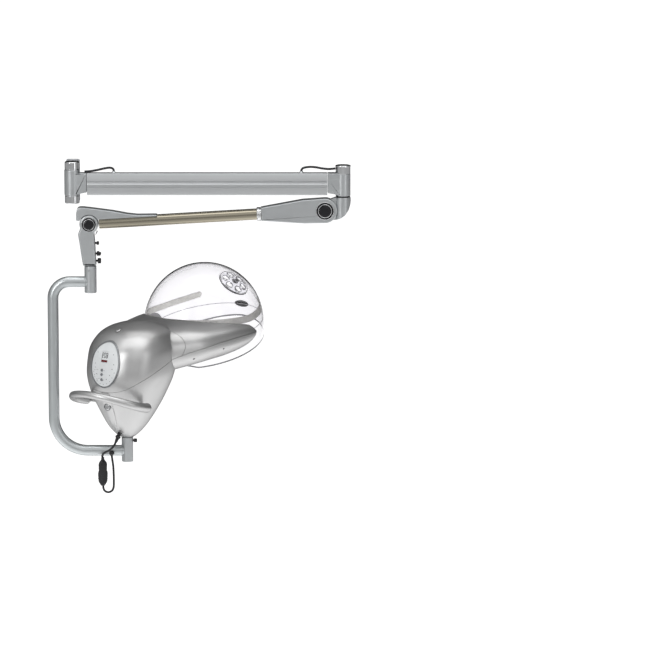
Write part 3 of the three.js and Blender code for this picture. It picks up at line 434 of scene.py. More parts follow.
EDGE_GREY = material("edge_grey", (0.42, 0.42, 0.44), 0.0, 0.25, 0.05, 30, 400, 0.0, 0.04)
VENT_GREY = material("vent_grey", (0.16, 0.16, 0.18), 0.0, 0.25, 0.08, 30, 400, 0.0, 0.04)

for node in NODES.values():
    slot_name = next((p["material_slot"] for p in frame["record"]["subparts"] if p["node"] == node.name),
        None)
    if slot_name:
        for s in node.material_slots:
            s.material = M[slot_name]


def piece(obj, body, slot_name, replaces=(), mat=None, angle=32.0, bevel=0.0, even=False):
    """Finishes a piece: smooth shading with crisp edges, its finish, its body and the nodes it stands for."""
    if bevel > 0:
        modifier = obj.modifiers.new("edges", "BEVEL")
        modifier.width, modifier.segments, modifier.limit_method = bevel * MM, 2, "ANGLE"
        modifier.angle_limit = math.radians(50)
    obj.data.polygons.foreach_set("use_smooth", [True] * len(obj.data.polygons))
    obj.data.set_sharp_from_angle(angle=math.radians(angle))
    if even:
        modifier = obj.modifiers.new("even", "WEIGHTED_NORMAL")
        modifier.keep_sharp, modifier.weight = True, 90
    obj.data.materials.clear()
    obj.data.materials.append(mat or M[slot_name])
    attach(obj, body)
    if replaces:
        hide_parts(*replaces)
    return obj


# ---------------------------------------------------------------- the cord
CORD_R = 3.0
LEAD_ROUTE = [(115.5, -88.2, -716.4), (110.5, -93.5, -726), (102.5, -96.5, -734), (93.5, -96.2, -740),
    (85.8, -93.3, -744.5), (80.6, -90, -749), (78.4, -88.1, -754.5), (78.3, -88, -757.9)]
LOOP_ROUTE = [(80, -87, -838.3), (80.2, -87, -843.5), (82.1, -87, -850.4), (87.1, -86.6, -855.4),
    (94.2, -85.8, -857.4), (101.3, -84.4, -855.4), (106.3, -82.8, -850.4), (108.4, -81, -843),
    (108.9, -78.5, -825), (108.4, -75.5, -805), (107.2, -73, -785), (105, -71.5, -770), (103.4, -71, -758)]


def cords():
    lead_path, loop_path = through(LEAD_ROUTE, 6), through(LOOP_ROUTE, 5)
    lead = tube("supply_lead", lead_path, CORD_R, 20)
    loop = tube("supply_loop", loop_path, CORD_R, 20)

    half = [(4.0, -758.3), (4.6, -766), (10.2, -773), (12.0, -778), (11.4, -796), (13.0, -800), (13.4, -807),
        (12.4, -826), (8.6, -833), (4.4, -838.2)]
    core = rounded([(r, z) for r, z in half], 2.5, 4)
    shape = [(79.2 + r, z) for r, z in core] + [(79.2 - r * 0.96, z) for r, z in core[::-1]]
    body = slab("inline_connector", shape, -95.8, -78.2, 4.5)
    ribs = [tube(f"rib{k}", [(79.2 + 13.0 * math.cos(a) * w, -87 + 8.6 * math.sin(a),
        z) for a in np.linspace(0, 2 * math.pi, 49)[:-1]] + [(79.2 + 13.0 * w, -87, z)], 0.9, 8) for k,
        (z, w) in enumerate([(-804, 1.0), (-809, 1.0), (-814, 1.0), (-819, 0.98), (-783, 0.86),
        (-790, 0.86)])]
    sleeve = [turned(f"sleeve{k}", [(0, 0), (3.6, 0), (3.9, -1), (3.6, -2), (3.6, -2.6), (0, -2.6)],
        upright(80.0 - 0.02 * k, -87, z)) for k, z in enumerate([-829, -832.5, -835.4])]
    connector = joined("inline_connector_body", body, *ribs, *sleeve)
    piece(connector, "c_frame", "black_plastic", ["cord_connector"])

    for obj in (lead, loop):
        obj.data.polygons.foreach_set("use_smooth", [True] * len(obj.data.polygons))
        obj.data.materials.append(M["black_plastic"])
    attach(loop, "c_frame")
    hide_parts("cord_loop")
    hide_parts("cord_lead")
    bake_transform(lead)


cords()


# ---------------------------------------------------------------- wall bracket and boom
LUG_Z0, LUG_Z1, LUG_R = 34.7, 58.7, 20.2
POST_R, HUB_TOP, BUSH_R, PIN_R, GAP = 21.3, 34.4, 13.0, 8.0, 0.3
BOOM_H, BOOM_D, BOOM_Z, BOOM_X0, BOOM_X1 = 60.0, 38.0, -4.0, 41.0, 698.0


def lug(name, sign):
    profile = rounded([(0, LUG_Z0), (LUG_R, LUG_Z0), (LUG_R, LUG_Z0 + 1.2), (LUG_R - 0.7, LUG_Z0 + 1.8),
        (LUG_R - 0.7, LUG_Z0 + 2.6), (LUG_R, LUG_Z0 + 3.2), (LUG_R, LUG_Z1 - 1.2), (0, LUG_Z1)],
        [0, 0.5, 0.3, 0.3, 0.3, 0.3, 3.2, 0], 6)
    if sign < 0:
        profile = [(r, -z) for r, z in profile][::-1]
    cap = turned(name, profile, upright(0))
    z = sorted((sign * (LUG_Z0 + 0.5), sign * (LUG_Z1 - 4)))
    neck = block("neck", -LUG_R + 4, LUG_R - 4, PLANE_Y, -8.3, z[0], z[1], 2.0)
    cut(cap, neck, how="UNION")
    cut(cap, drum("hole", (0, PLANE_Y, sign * (LUG_Z0 - 2)), (0, PLANE_Y, sign * 50), PIN_R + GAP))
    return cap


def wall_bracket():
    piece(lug("upper_lug_cap", 1), "wall_bracket", "chrome", ["upper_lug"], even=True)
    piece(lug("lower_lug_cap", -1), "wall_bracket", "chrome", ["lower_lug"], even=True)
    plate = slab("bracket_plate", contour([(-19, -58.7), (19, -58.7), (19, 58.7), (-19, 58.7)], 5, 6), -8, 0,
        1.2)
    cut(plate, *[drum(f"bore{z}", (0, 5, z), (0, -13, z), 3.2) for z in (-24, 24)])
    piece(plate, "wall_bracket", "steel", ["wall_plate"])
    for z, side in ((-24, "lower"), (24, "upper")):
        place = facing((0, -8.3, z), (0, -1, 0))
        screw = lathed(f"bracket_screw_{side}", [(0, -7.8), (2.8, -7.8), (2.8, 0), (5.5, 0), (4.6, 2.6),
            (0, 3.2)], [0, 0, 0, .4, .8, 0], 4, place)
        cross = [slab(f"drive{k}", [(-3.2, -0.5), (3.2, -0.5), (3.2, 0.5),
            (-3.2, 0.5)] if k else [(-0.5, -3.2), (0.5, -3.2), (0.5, 3.2), (-0.5, 3.2)], -13, -10.2, 0,
            Matrix.Translation((0, 0, z))) for k in (0, 1)]
        piece(cut(screw, *cross), "wall_bracket", "steel", [f"wall_screw_{side}"])


wall_bracket()


def boom_section():
    """The drawn profile's outline in Y-Z, with its face bands, as drawn on each long side."""
    top, low = BOOM_Z + BOOM_H / 2, BOOM_Z - BOOM_H / 2
    half = BOOM_D / 2
    side = [(half - 5.0, top), (half, top - 19.7), (half - 0.5, top - 20.2), (half - 2.6, top - 22.2),
        (half - 3.0, top - 24.5), (half - 2.6, top - 27.0), (half - 0.9, top - 28.6),
        (half - 0.6, top - 29.8), (half, top - 30.4), (half, top - 36.6), (half - 1.4, top - 37.2),
        (half - 1.4, top - 38.6), (half, top - 39.4), (half - 3.4, top - 56.5), (half - 5.0, low)]
    right = [(-y, z) for y, z in side]
    corners = side + right[::-1]
    radii = [2.0] + [0.5] * 12 + [2.0, 1.5]
    radii += radii[::-1]
    return contour(corners, radii, 4)


def boom():
    hub = lathed("post_hub", [(0, -HUB_TOP), (POST_R, -HUB_TOP), (POST_R, HUB_TOP), (0, HUB_TOP)], 1.6, 5,
        upright(0))
    boss = plank("boss", contour([(10, BOOM_Z - 28), (BOOM_X0 - 0.6, BOOM_Z - 22),
        (BOOM_X0 - 0.6, BOOM_Z + 30), (10, BOOM_Z + 30)], [0.1, 3, 2, 0.1], 4), 18.6, 2.5)
    cut(hub, boss, how="UNION")
    cut(hub, drum("bore", (0, PLANE_Y, -40), (0, PLANE_Y, 40), PIN_R + GAP),
        drum("seat1", (0, PLANE_Y, HUB_TOP - 12), (0, PLANE_Y, 40), BUSH_R + GAP),
        drum("seat2", (0, PLANE_Y, -40), (0, PLANE_Y, 12 - HUB_TOP), BUSH_R + GAP))
    piece(hub, "boom", "cast_silver", ["boom_hub"], bevel=0.6, angle=20, even=True)

    section = boom_section()
    rings = [[(x, PLANE_Y + y, z) for y, z in section] for x in (BOOM_X0, BOOM_X1)]
    profile = make("boom_extrusion", *skin(rings))
    top, low = BOOM_Z + BOOM_H / 2, BOOM_Z - BOOM_H / 2
    cut(profile, beam("c1", BOOM_X0 - 1, BOOM_X1 + 1, 15, low + 4, BOOM_Z - 4),
        beam("c2", BOOM_X0 - 1, BOOM_X1 + 1, 15, BOOM_Z + 8, top - 4))
    piece(profile, "boom", "aluminium", ["boom_profile"], angle=24)

    end = lathed("elbow_sleeve", [(0, -36.9), (20.4, -36.9), (20.4, 24.2), (0, 24.2)], 1.6, 5,
        upright(ELBOW_X))
    neck = plank("neck", contour([(BOOM_X1 + 0.6, BOOM_Z - 24), (ELBOW_X - 8, BOOM_Z - 30),
        (ELBOW_X - 8, BOOM_Z + 29.8), (BOOM_X1 + 0.6, BOOM_Z + 29.8)], [4, 0.1, 0.1, 2], 4), 18.2, 2.5)
    rise = beam("rise", BOOM_X1 + 0.8, ELBOW_X - 8, 18.8, BOOM_Z + 12.5, BOOM_Z + 29.9, 1.2)
    cut(end, neck, rise, how="UNION")
    cut(end, drum("bore", (ELBOW_X, PLANE_Y, -45), (ELBOW_X, PLANE_Y, 12), PIN_R + GAP))
    piece(end, "boom", "cast_silver", ["elbow_hub"], bevel=0.6, angle=20, even=True)
    stop = lathed("elbow_stop_pin", [(0, 0), (2.6, 0), (2.6, 3.4), (0, 3.8)], 0.8, 4,
        facing((ELBOW_X - 27, PLANE_Y - 18.0, BOOM_Z - 22), (0, -1, 0)), 40)
    piece(stop, "boom", "chrome")
    cap = lathed("elbow_chrome_cap", [(0, 24.5), (20.2, 24.5), (20.2, 43.2), (21.2, 43.6), (21.2, 46.2),
        (19, 47.6), (0, 48.7)], [0, .5, .4, .6, 1.0, 3, 0], 5, upright(ELBOW_X))
    piece(cap, "boom", "chrome", ["elbow_cap"])

    top += 0.3
    y = PLANE_Y
    routes = {"left": ([(34, y, 29.5), (50, y, 30.6), (70, y, 34), (90, y, 38.5), (104, y, 40),
        (111.5, y, 37.5), (114, y, 32.5), (114, y, top + 1)], 114),
        "right": ([(627, y, top + 1), (627, y, 32.5), (630, y, 38), (645, y, 42), (665, y, 41.5),
        (685, y, 38), (702, y, 36.5), (720.3, y, 38)], 627)}
    for side, (route, x) in routes.items():
        wire = tube("w", through(route, 8), 3.1, 20)
        collar = banded("g", [(3.2, 0), (6.4, 0), (6.4, 0.8), (5.0, 2.2), (3.9, 4.6), (3.2, 4.8)], 0.4, 3,
            upright(x, y, top), 40)
        piece(wire, "boom", "black_plastic", [f"boom_lead_{side}"])
        wire.name = f"bridge_wire_{side}"
        piece(collar, "boom", "cast_silver")
        collar.name = f"wire_grommet_{side}"


boom()


# ---------------------------------------------------------------- elbow knuckle and balanced arm
TONGUE, ARM_HALF, ARM_HEAD_R, HOUSING_LEN, ARM_TUBE_R = 11.0, 19.0, 34.0, 175.0, 15.7


def arm_point(d, up=0.0, y=0.0):
    """d runs from the lift pivot towards the wrist, up is square to the arm."""
    return np.array((ARM_X - d * math.cos(SLOPE) - up * math.sin(SLOPE), PLANE_Y + y,
        ARM_Z - d * math.sin(SLOPE) + up * math.cos(SLOPE)))


ALONG_ARM = (-math.cos(SLOPE), 0, -math.sin(SLOPE))


def flat(p):
    return (p[0], p[2])


def elbow():
    outline = [(ELBOW_X - 21, -41)] + arc(ARM_X, ARM_Z, 26, 135, 270, 30)
    outline += [(ELBOW_X - 30, -103.6), (ELBOW_X - 18, -102), (ELBOW_X - 6, -97.5), (ELBOW_X + 6, -89),
        (ELBOW_X + 15.5, -75), (ELBOW_X + 20.3, -60), (ELBOW_X + 21.4, -49), (ELBOW_X + 21, -41)]
    body = plank("knuckle_body", contour(outline, [1] + [0] * 31 + [14] * 7 + [1.5], 5), 21.4, 0.8)
    trunk = lathed("trunk", [(0, -110), (21.4, -110), (21.4, -41.0), (0, -41.0)], 1.0, 4, upright(ELBOW_X))
    cut(trunk, axle(ARM_X, ARM_Z, ARM_HEAD_R + 1, 40, 160))
    tongue = beam("tongue", ARM_X - 40, ELBOW_X, TONGUE, -112, -30)
    cut(trunk, tongue, how="UNION")
    cut(body, trunk, how="INTERSECT")
    cut(body, axle(ARM_X, ARM_Z, 6.3),
        drum("socket", (ELBOW_X, PLANE_Y, -44), (ELBOW_X, PLANE_Y, -30), PIN_R + GAP))
    piece(body, "elbow", "cast_silver", ["knuckle"], bevel=0.7, even=True)
    washer = banded("elbow_ring", [(8.4, -40.7), (19.6, -40.7), (19.6, -37.2), (8.4, -37.2)], 0.8, 4,
        upright(ELBOW_X))
    piece(washer, "elbow", "black_plastic", ["elbow_washer"])


def medallion(name, x, z, radius, body, node):
    """The pivot bolt with its round covers: a bright rim, a dark groove and a plain domed centre."""
    half = ARM_HALF if radius > 22 else 18.0
    k = radius / 25.0
    shank = tube("shank", [(x, PLANE_Y - half, z), (x, PLANE_Y + half, z)], 5.6 if k > 0.9 else 4.6, 32)
    centres, rims = [shank], []
    for s in (-1, 1):
        place = facing((x, PLANE_Y + s * half, z), (0, s, 0))
        rims.append(banded("rim", [(23.4 * k, 0.3), (25 * k, 0.3), (25 * k, 1.8), (24.4 * k, 2.4),
            (23.4 * k, 2.2)], 0.6, 4, place))
        rims.append(banded("ring", [(17.2 * k, 0.6), (19.0 * k, 0.6), (19.0 * k, 3.0), (17.2 * k, 3.3)], 0.5,
            4, place))
        centres.append(lathed("disc", [(0, 0.1), (23.2 * k, 0.1), (23.2 * k, 1.5), (19.3 * k, 1.2),
            (19.2 * k, 0.9), (17.0 * k, 0.9), (16.9 * k, 2.6), (12.5 * k, 3.5), (0, 3.9)],
            [0, 0, .3, .2, .2, .2, 1.2, 3, 0], 4, place))
    cap = joined(name, *centres)
    piece(cap, body, "black_gloss", [node])
    rim = joined(name + "_rims", *rims)
    piece(rim, body, "chrome")


def arm():
    upper, lower = arm_point(HOUSING_LEN, 18.6), arm_point(HOUSING_LEN, -17.4)
    outline = [flat(lower), flat(arm_point(60, -31.5))] + arc(ARM_X, ARM_Z, ARM_HEAD_R, -92, 96, 60)
    outline += [flat(arm_point(60, 33.2)), flat(upper)]
    radii = [2.0, 60] + [0] * 61 + [60, 2.0]
    housing = plank("arm_gearcase", contour(outline, radii, 6), ARM_HALF, 3.2, steps=6)
    cut(housing, beam("slot", ARM_X - 48, ARM_X + 40, TONGUE + SLOT_CLEAR, -130, -30), axle(ARM_X, ARM_Z, 6.3),
        drum("bore", arm_point(70), arm_point(HOUSING_LEN + 5), ARM_TUBE_R + GAP))
    for s in (-1, 1):
        groove = tube("groove", [arm_point(48, 27.5, s * ARM_HALF),
            arm_point(HOUSING_LEN + 4, 14.4, s * ARM_HALF)], 0.7, 8)
        cut(housing, groove)
    piece(housing, "balanced_arm", "cast_silver", ["arm_housing"], even=True)
    medallion("arm_medallion", ARM_X, ARM_Z, 25.0, "balanced_arm", "arm_pivot_bolt")

    place = facing(arm_point(0), ALONG_ARM)
    tube_wall = hollow("arm_main_tube", [(ARM_TUBE_R - 2, 82), (ARM_TUBE_R, 82), (ARM_TUBE_R, 619.5),
        (ARM_TUBE_R - 2, 619.5)], place, 128)
    piece(tube_wall, "balanced_arm", "nickel_tube", ["arm_tube"])
    collar = banded("arm_chrome_collar", [(ARM_TUBE_R + 0.3, 175.4), (19.4, 175.4), (19.4, 177.6),
        (18.4, 178.2), (18.4, 179.4), (19.2, 180.0), (19.2, 184.6), (17.9, 187), (ARM_TUBE_R + 0.3, 187)],
        0.6, 4, place)
    piece(collar, "balanced_arm", "chrome", ["arm_collar"])


elbow()
arm()


# ---------------------------------------------------------------- arm end and wrist
TONGUE_END, WRIST_HALF, WRIST_HEAD_R, WRIST_GAP_R, WRIST_LOW = 7.0, 18.0, 26.0, 27.2, -229.0


def arm_end():
    def on_tube(x, up=12.5):
        return WRIST_Z + up + (x - WRIST_X) * math.tan(SLOPE)

    outline = [(232, on_tube(232, 5)), (232, on_tube(232, 16.0)), (178, -88.5), (150, -85.5), (110, -78.0),
        (60, -71.5), (30, -68.0), (14, -68.4), (10.5, -84), (10.5, -105), (WRIST_X, WRIST_Z + 10),
        (WRIST_X + 24, on_tube(WRIST_X + 24, -6)), (178, on_tube(178, -6))]
    cover = plank("arm_end_wedge", contour(outline, [3, 3, 40, 60, 80, 80, 40, 9, 14, 3, 3, 3, 30], 7),
        WRIST_HALF, 2.4, steps=5)
    side = [(WRIST_X - 2, on_tube(WRIST_X - 2)), (WRIST_X - 2, on_tube(WRIST_X) - 40),
        (240, on_tube(240) - 40), (240, on_tube(240))]
    cut(cover, plank("open", side, 30, 0))
    cut(cover, axle(WRIST_X, WRIST_Z, WRIST_GAP_R, 40, 160))
    disc = axle(WRIST_X, WRIST_Z, 17, TONGUE_END)
    neck = beam("neck", WRIST_X - 12, WRIST_X + 12, TONGUE_END, WRIST_Z, -80)
    cut(cover, disc, neck, how="UNION")
    cut(cover, axle(WRIST_X, WRIST_Z, 5.3))
    piece(cover, "balanced_arm", "cast_silver", ["arm_end_cover"])


def wrist():
    outline = [(28.6, WRIST_LOW), (64.4, WRIST_LOW), (63.6, -212), (61.0, -160), (59.5, -141)]
    outline += arc(WRIST_X, WRIST_Z, WRIST_HEAD_R, -50, 205, 60) + [(15.2, -142), (19, -165), (26, -215)]
    radii = [1.5, 1.5, 30, 40, 6] + [0] * 61 + [20, 60, 40]
    housing = plank("wrist_casting", contour(outline, radii, 6), WRIST_HALF, 5.0, steps=7)
    cut(housing, beam("slot", 0, 90, TONGUE_END + SLOT_CLEAR, WRIST_Z - 19, -80), axle(WRIST_X, WRIST_Z, 5.3),
        drum("bore", (FRAME_X, PLANE_Y, WRIST_LOW - 2), (FRAME_X, PLANE_Y, -164), 9.3))
    cut(housing, *[drum(f"hole{z}", (50, PLANE_Y, z), (90, PLANE_Y, z), 3.3, sides=32) for z in (-168, -197,
        -217)])
    piece(housing, "wrist", "cast_silver", ["wrist_housing"], even=True)
    medallion("wrist_medallion", WRIST_X, WRIST_Z, 20.5, "wrist", "wrist_pivot_bolt")

    out = (1, 0, 0)
    screw = lathed("wrist_screw", [(0, -8), (3, -8), (3, 0), (5.2, 0), (5.2, 5.0), (3.0, 6.6), (2.6, 4.6),
        (0, 4.6)], [0, 0, 0, .5, 1.2, .3, .2, 0], 4, facing((66, PLANE_Y, -168), out), 48)
    piece(screw, "wrist", "black_plastic", ["wrist_lock_screw"])
    hub = lathed("hub", [(0, -8), (3, -8), (3, 0), (6.5, 0), (6.5, 6.2), (5, 7.4), (0, 7.4)],
        [0, 0, 0, .6, .6, 1, 0], 4, facing((66, PLANE_Y, -197), out), 48)
    bar = tube("bar", through([(74, PLANE_Y - 17, -198.5), (74.6, PLANE_Y - 9, -197.4), (73.4, PLANE_Y, -197),
        (74.6, PLANE_Y + 9, -197.4), (74, PLANE_Y + 17, -198.5)], 8), 3.1, 24, ends=3)
    piece(cut(hub, bar, how="UNION"), "wrist_lever", "black_plastic", ["wrist_lock_lever"])
    knob = knurled("wrist_grip", 7.5, 9.6, 24)
    stem = turned("stem", [(0, -10), (3, -10), (3, 0.4), (0, 0.4)], None, 32)
    grip = joined("wrist_grip_knob", knob, stem)
    grip.data.transform(facing((0.0680, PLANE_Y * MM, -0.217), out))
    piece(grip, "wrist_clamp_knob", "black_plastic", ["wrist_knob"])
    clip = plank("wrist_bracket_tab", contour([(61.5, -147), (66, -142), (69.5, -135.5), (66, -134)], 1.0, 3),
        6, 0.8)
    piece(clip, "wrist", "steel")


def knurled(name, radius, height, teeth):
    """A grip knob along +Z with shallow flutes and a domed face, at the origin, in millimetres."""
    n = teeth * 6
    wave = [0.5 + 0.5 * math.cos(teeth * 2 * math.pi * i / n) for i in range(n)]
    rings = []
    for z, r in [(0, 0.86), (0.6, 0.97), (1.2, 1.0), (height - 2.0, 1.0), (height - 1.0, 0.95),
            (height - 0.3, 0.84), (height, 0.6)]:
        deep = 0.07 if 0.9 < z < height - 0.8 else 0.02
        rings.append([(radius * r * (1 - deep * w) * c, radius * r * (1 - deep * w) * s, z) for w,
            (c, s) in zip(wave, around(n))])
    return make(name, *skin(rings, ((0, 0, 0), (0, 0, height + 0.1))))


arm_end()
wrist()


# ---------------------------------------------------------------- C-frame
FRAME_TUBE_R = 15.0


def c_frame():
    corners = [(FRAME_X - 8.3, PLANE_Y, FRAME_TOP_Z), (FRAME_LEFT_X, PLANE_Y, FRAME_TOP_Z),
        (FRAME_LEFT_X, PLANE_Y, FRAME_LOW_Z), (STUB_X - 8.3, PLANE_Y, FRAME_LOW_Z)]
    path = rounded(corners, [0, 72, 135, 0], 40)
    main = tube("c_frame_tube", path, FRAME_TUBE_R, 72)
    piece(main, "c_frame", "tube_silver", ["c_tube"], angle=40)

    sleeve = lathed("frame_sleeve", [(0, -305.5), (16.6, -305.5), (16.6, -237.2), (16.1, -236.6),
        (16.1, -235.4), (16.6, -234.8), (16.6, -231), (0, -231)], [0, 2.2, .3, .2, .2, .3, 1.6, 0], 5,
        upright(FRAME_X))
    cut(sleeve, drum("seat", (FRAME_X - 30, PLANE_Y, FRAME_TOP_Z), (FRAME_X - 8, PLANE_Y, FRAME_TOP_Z),
        FRAME_TUBE_R + GAP), drum("bore", (FRAME_X, PLANE_Y, -252), (FRAME_X, PLANE_Y, -228), 9.3),
        drum("tap", (FRAME_X - 3.5, PLANE_Y - 20, -243), (FRAME_X - 3.5, PLANE_Y - 12, -243), 2.6, sides=32))
    piece(sleeve, "c_frame", "cast_silver", ["upper_fitting"], bevel=0.5, even=True)
    grub = lathed("sleeve_set_screw", [(0, -3), (2.4, -3), (2.4, 0), (1.4, 0), (1.2, -1.4), (0, -1.4)],
        [0, 0, .3, .1, .1, 0], 3, facing((FRAME_X - 3.5, PLANE_Y - 15.6, -243), (0, -1, 0)), 32)
    piece(grub, "c_frame", "steel")
    weld = hollow("upper_weld", oval_ring(16.9, 1.3), facing((FRAME_X - 14.6, PLANE_Y, FRAME_TOP_Z),
        (-1, 0, 0)), 96)
    piece(cut_to_sleeve(weld, FRAME_X, 16.55, -310, -225), "c_frame", "cast_silver")

    stub = lathed("frame_stub", [(0, -778), (16, -778), (16, -709.6), (0, -709.6)], [0, 2.2, 1.8, 0], 5,
        upright(STUB_X))
    stem = drum("stem", (STUB_X, PLANE_Y, -712), (STUB_X, PLANE_Y, -640), 9, sides=64)
    cut(stub, stem, how="UNION")
    cut(stub, drum("seat", (STUB_X - 30, PLANE_Y, FRAME_LOW_Z), (STUB_X - 8, PLANE_Y, FRAME_LOW_Z),
        FRAME_TUBE_R + GAP), drum("tap", (STUB_X + 3.7, PLANE_Y, -719), (STUB_X + 30, PLANE_Y, -719), 3.3,
        sides=32))
    piece(stub, "c_frame", "cast_silver", ["lower_stub"], bevel=0.5, even=True)
    weld = hollow("lower_weld", oval_ring(16.4, 1.2), facing((STUB_X - 14.2, PLANE_Y, FRAME_LOW_Z),
        (-1, 0, 0)), 96)
    piece(cut_to_sleeve(weld, STUB_X, 15.95, -780, -708), "c_frame", "cast_silver")

    knob = knurled("lock_grip", 5.5, 9.4, 10)
    stem = turned("stem", [(0, -12.5), (3, -12.5), (3, 0.4), (0, 0.4)], None, 32)
    grip = joined("swivel_lock_grip", knob, stem)
    grip.data.transform(facing((0.1633, PLANE_Y * MM, -0.719), (1, 0, 0)))
    piece(grip, "swivel_lock", "black_plastic", ["frame_lock_knob"])

    y = PLANE_Y - FRAME_TUBE_R - 7.8
    boot = lathed("cord_boot", [(0, -7.9), (3.6, -7.9), (4.4, -6.0), (7.2, -2.6), (7.4, 2.2), (4.6, 6.4),
        (0, 7.4)], [0, 0.6, 1.5, 3, 3, 3, 0], 6, upright(103, y, -750))
    piece(boot, "c_frame", "black_plastic", ["cord_ball"])


def oval_ring(radius, bead):
    return [(radius + bead * math.cos(t), bead * math.sin(t)) for t in np.linspace(0, 2 * math.pi, 17)[:-1]]


def cut_to_sleeve(bead, x, radius, z0, z1):
    return cut(bead, drum("core", (x, PLANE_Y, z0), (x, PLANE_Y, z1), radius, sides=96))


c_frame()


# ---------------------------------------------------------------- dryer head (in its frame +X is forward)
BODY_ROWS = [(0, 0, 17, 17), (6, 0, 26, 26), (30, 1, 49, 48), (80, 6, 80, 77), (125, 9, 102, 98),
    (173, 16, 118, 113), (215, 23, 120, 116), (252, 33, 119, 114), (283, 42, 103, 99), (300, 46, 83, 79),
    (311, 49, 55, 52), (318, 51, 20, 19)]
FORK_ROWS = [(20, 234, 68, 100), (60, 235, 67, 116), (100, 238, 66, 138), (146, 243, 64, 163),
    (200, 248, 62, 179), (260, 253, 60, 189), (315, 258, 51, 190), (340, 262, 37, 186), (354, 265, 13, 178)]
BODY_SHAPE, FORK_SHAPE = 2.3, 2.4
SEAM = [(-160, 96), (-98, 137), (-60, 168), (-10, 194), (50, 216), (110, 236), (180, 252), (260, 262),
    (400, 268)]
BODY_CURVE = through(BODY_ROWS, 6)
SEAM_GAP = 1.1


def squared(value, shape):
    return math.copysign(abs(value) ** (2 / shape), value)


def body_block(grow, z0=0.0, sides=128):
    rings = []
    for z, shift, a, b in BODY_CURVE:
        if z < z0:
            continue
        rings.append([(shift + (a + grow) * squared(c, BODY_SHAPE), (b + grow) * squared(s, BODY_SHAPE),
            z + (grow if z > 250 else 0)) for c, s in around(sides)])
    return make("body", *skin(rings))


def fork_block(shrink, sides=112):
    rings = []
    for f, z, h, w in through(FORK_ROWS, 7):
        rings.append([(f, squared(c, FORK_SHAPE) * max(w - shrink, 1),
            z + squared(s, FORK_SHAPE) * max(h - shrink, 0.8)) for c, s in around(sides)])
    return make("fork", *skin(rings))


def rim_height(angle):
    back = (1 - math.cos(angle)) / 2
    curl = 16 * max(0.0, -math.cos(angle) - 0.82) / 0.18
    return DOME_EQ + 2 - 104 * back ** 0.85 * (1.18 - 0.18 * back) + curl


def dome_point(t, width, z, grow=0.0):
    return (DOME_F + (DOME_A + grow) * width * math.cos(t), (DOME_B + grow) * width * math.sin(t), z)


def dome_rows(grow, edge, sides=144, low=10, high=26):
    """Rings of the dome's surface from its lower edge to just under the crown."""
    angles = [2 * math.pi * i / sides for i in range(sides)]
    rings = []
    for k in range(low):
        u = k / low
        ring = []
        for t in angles:
            z = edge(t) * (1 - u) + DOME_EQ * u
            ring.append(dome_point(t, math.sqrt(1 - ((z - DOME_EQ) / DOME_LOW_C) ** 2), z, grow))
        rings.append(ring)
    for k in range(high):
        rise = math.radians(89.0 * k / (high - 1))
        rings.append([dome_point(t, math.cos(rise), DOME_EQ + (DOME_C + grow) * math.sin(rise),
            grow) for t in angles])
    return rings


def dome_block(grow, edge=lambda t: DOME_EQ - 160):
    return make("dome_block", *skin(dome_rows(grow, edge), (False, (DOME_F, 0, DOME_EQ + DOME_C + grow))))


def above_seam(offset):
    line = [(f, z + offset) for f, z in through(SEAM, 10)]
    return slab("above", line + [(400, 420), (-160, 420)], -250, 250, 0)


def behind_arc(offset):
    bend = [((1 - t) ** 2 * 80 + 2 * t * (1 - t) * 112 + t * t * 74,
        (1 - t) ** 2 * 222 + 2 * t * (1 - t) * 276 + t * t * 308) for t in np.linspace(0, 1, 28)]
    shape = [(-170, 60), (76, 60)] + bend + [(50, 330), (-170, 330)]
    return slab("behind", [(f + (offset if f > -100 else 0), z) for f, z in shape], -250, 250, 0)


def row_at(z):
    rows = BODY_CURVE
    return [float(np.interp(z, rows[:, 0], rows[:, k])) for k in (1, 2, 3)]


def rear_point(y, z, out=0.0):
    """A point on the rear of the body, moved out along the forward axis."""
    shift, a, b = row_at(z)
    across = min(1.0, abs(y) / (b + out)) ** BODY_SHAPE
    return np.array((shift - (a + out) * (1 - across) ** (1 / BODY_SHAPE), y, z))


def rear_patch(name, outline, low, high, edge=0.9, rows=10):
    """A plate that follows the rear of the body inside an outline of (sideways, height) points."""
    shape = np.array(outline, float)
    middle = shape.mean(axis=0)
    radius = float(np.min(np.linalg.norm(shape - middle, axis=1)))
    shares = [k / rows for k in range(1, rows)] + [1 - edge / radius] + [1 - edge / radius * (1
        - math.sin(math.radians(a))) for a in (30, 60, 90)]
    lifts = [high] * rows + [high - (high - low) * 0.6 * (1 - math.cos(math.radians(a))) for a in (30, 60,
        90)]
    top = [[rear_point(*(middle + (p - middle) * s), out=o) for p in shape] for s, o in zip(shares, lifts)]
    base = [[rear_point(*(middle + (p - middle) * s),
        out=low) for p in shape] for s in [1.0] + [1 - k / rows for k in range(1, rows)]]
    rings = top + base
    return make(name, *skin(rings, (tuple(rear_point(*middle, out=high)),
        tuple(rear_point(*middle, out=low)))))


POWER_Z, POWER_R = 96.0, 9.0
TOP_KNOB, TOP_KNOB_AXIS = np.array((-35, 0, 301)), np.array((-0.423, 0, 0.906))
HANDLE_R, HANDLE_FLARE, HANDLE_F, HANDLE_Z, HANDLE_HALF = 10.0, 4.0, -36.0, 97.0, 106.0
GLAND_IN, GLAND_OUT, GLAND_R = np.array((-28, 0, 21.7)), np.array((-50, 0, -8)), 5.2
BUTTONS = {"heat_button": -14.0, "air_button": -26.0, "time_button": -40.0}
BUTTON_SIDE, BUTTON_R = 4.0, 3.8
DISPLAY_W, DISPLAY_H, DISPLAY_Z = 22.0, 30.0, 22.0
PANEL_W, PANEL_H = 50.0, 64.0


def to_head(obj):
    """Moves a piece made in the head's own frame to its place, once it is shaped."""
    m = HEAD.copy()
    m.translation *= MM
    obj.data.transform(m)
    return obj


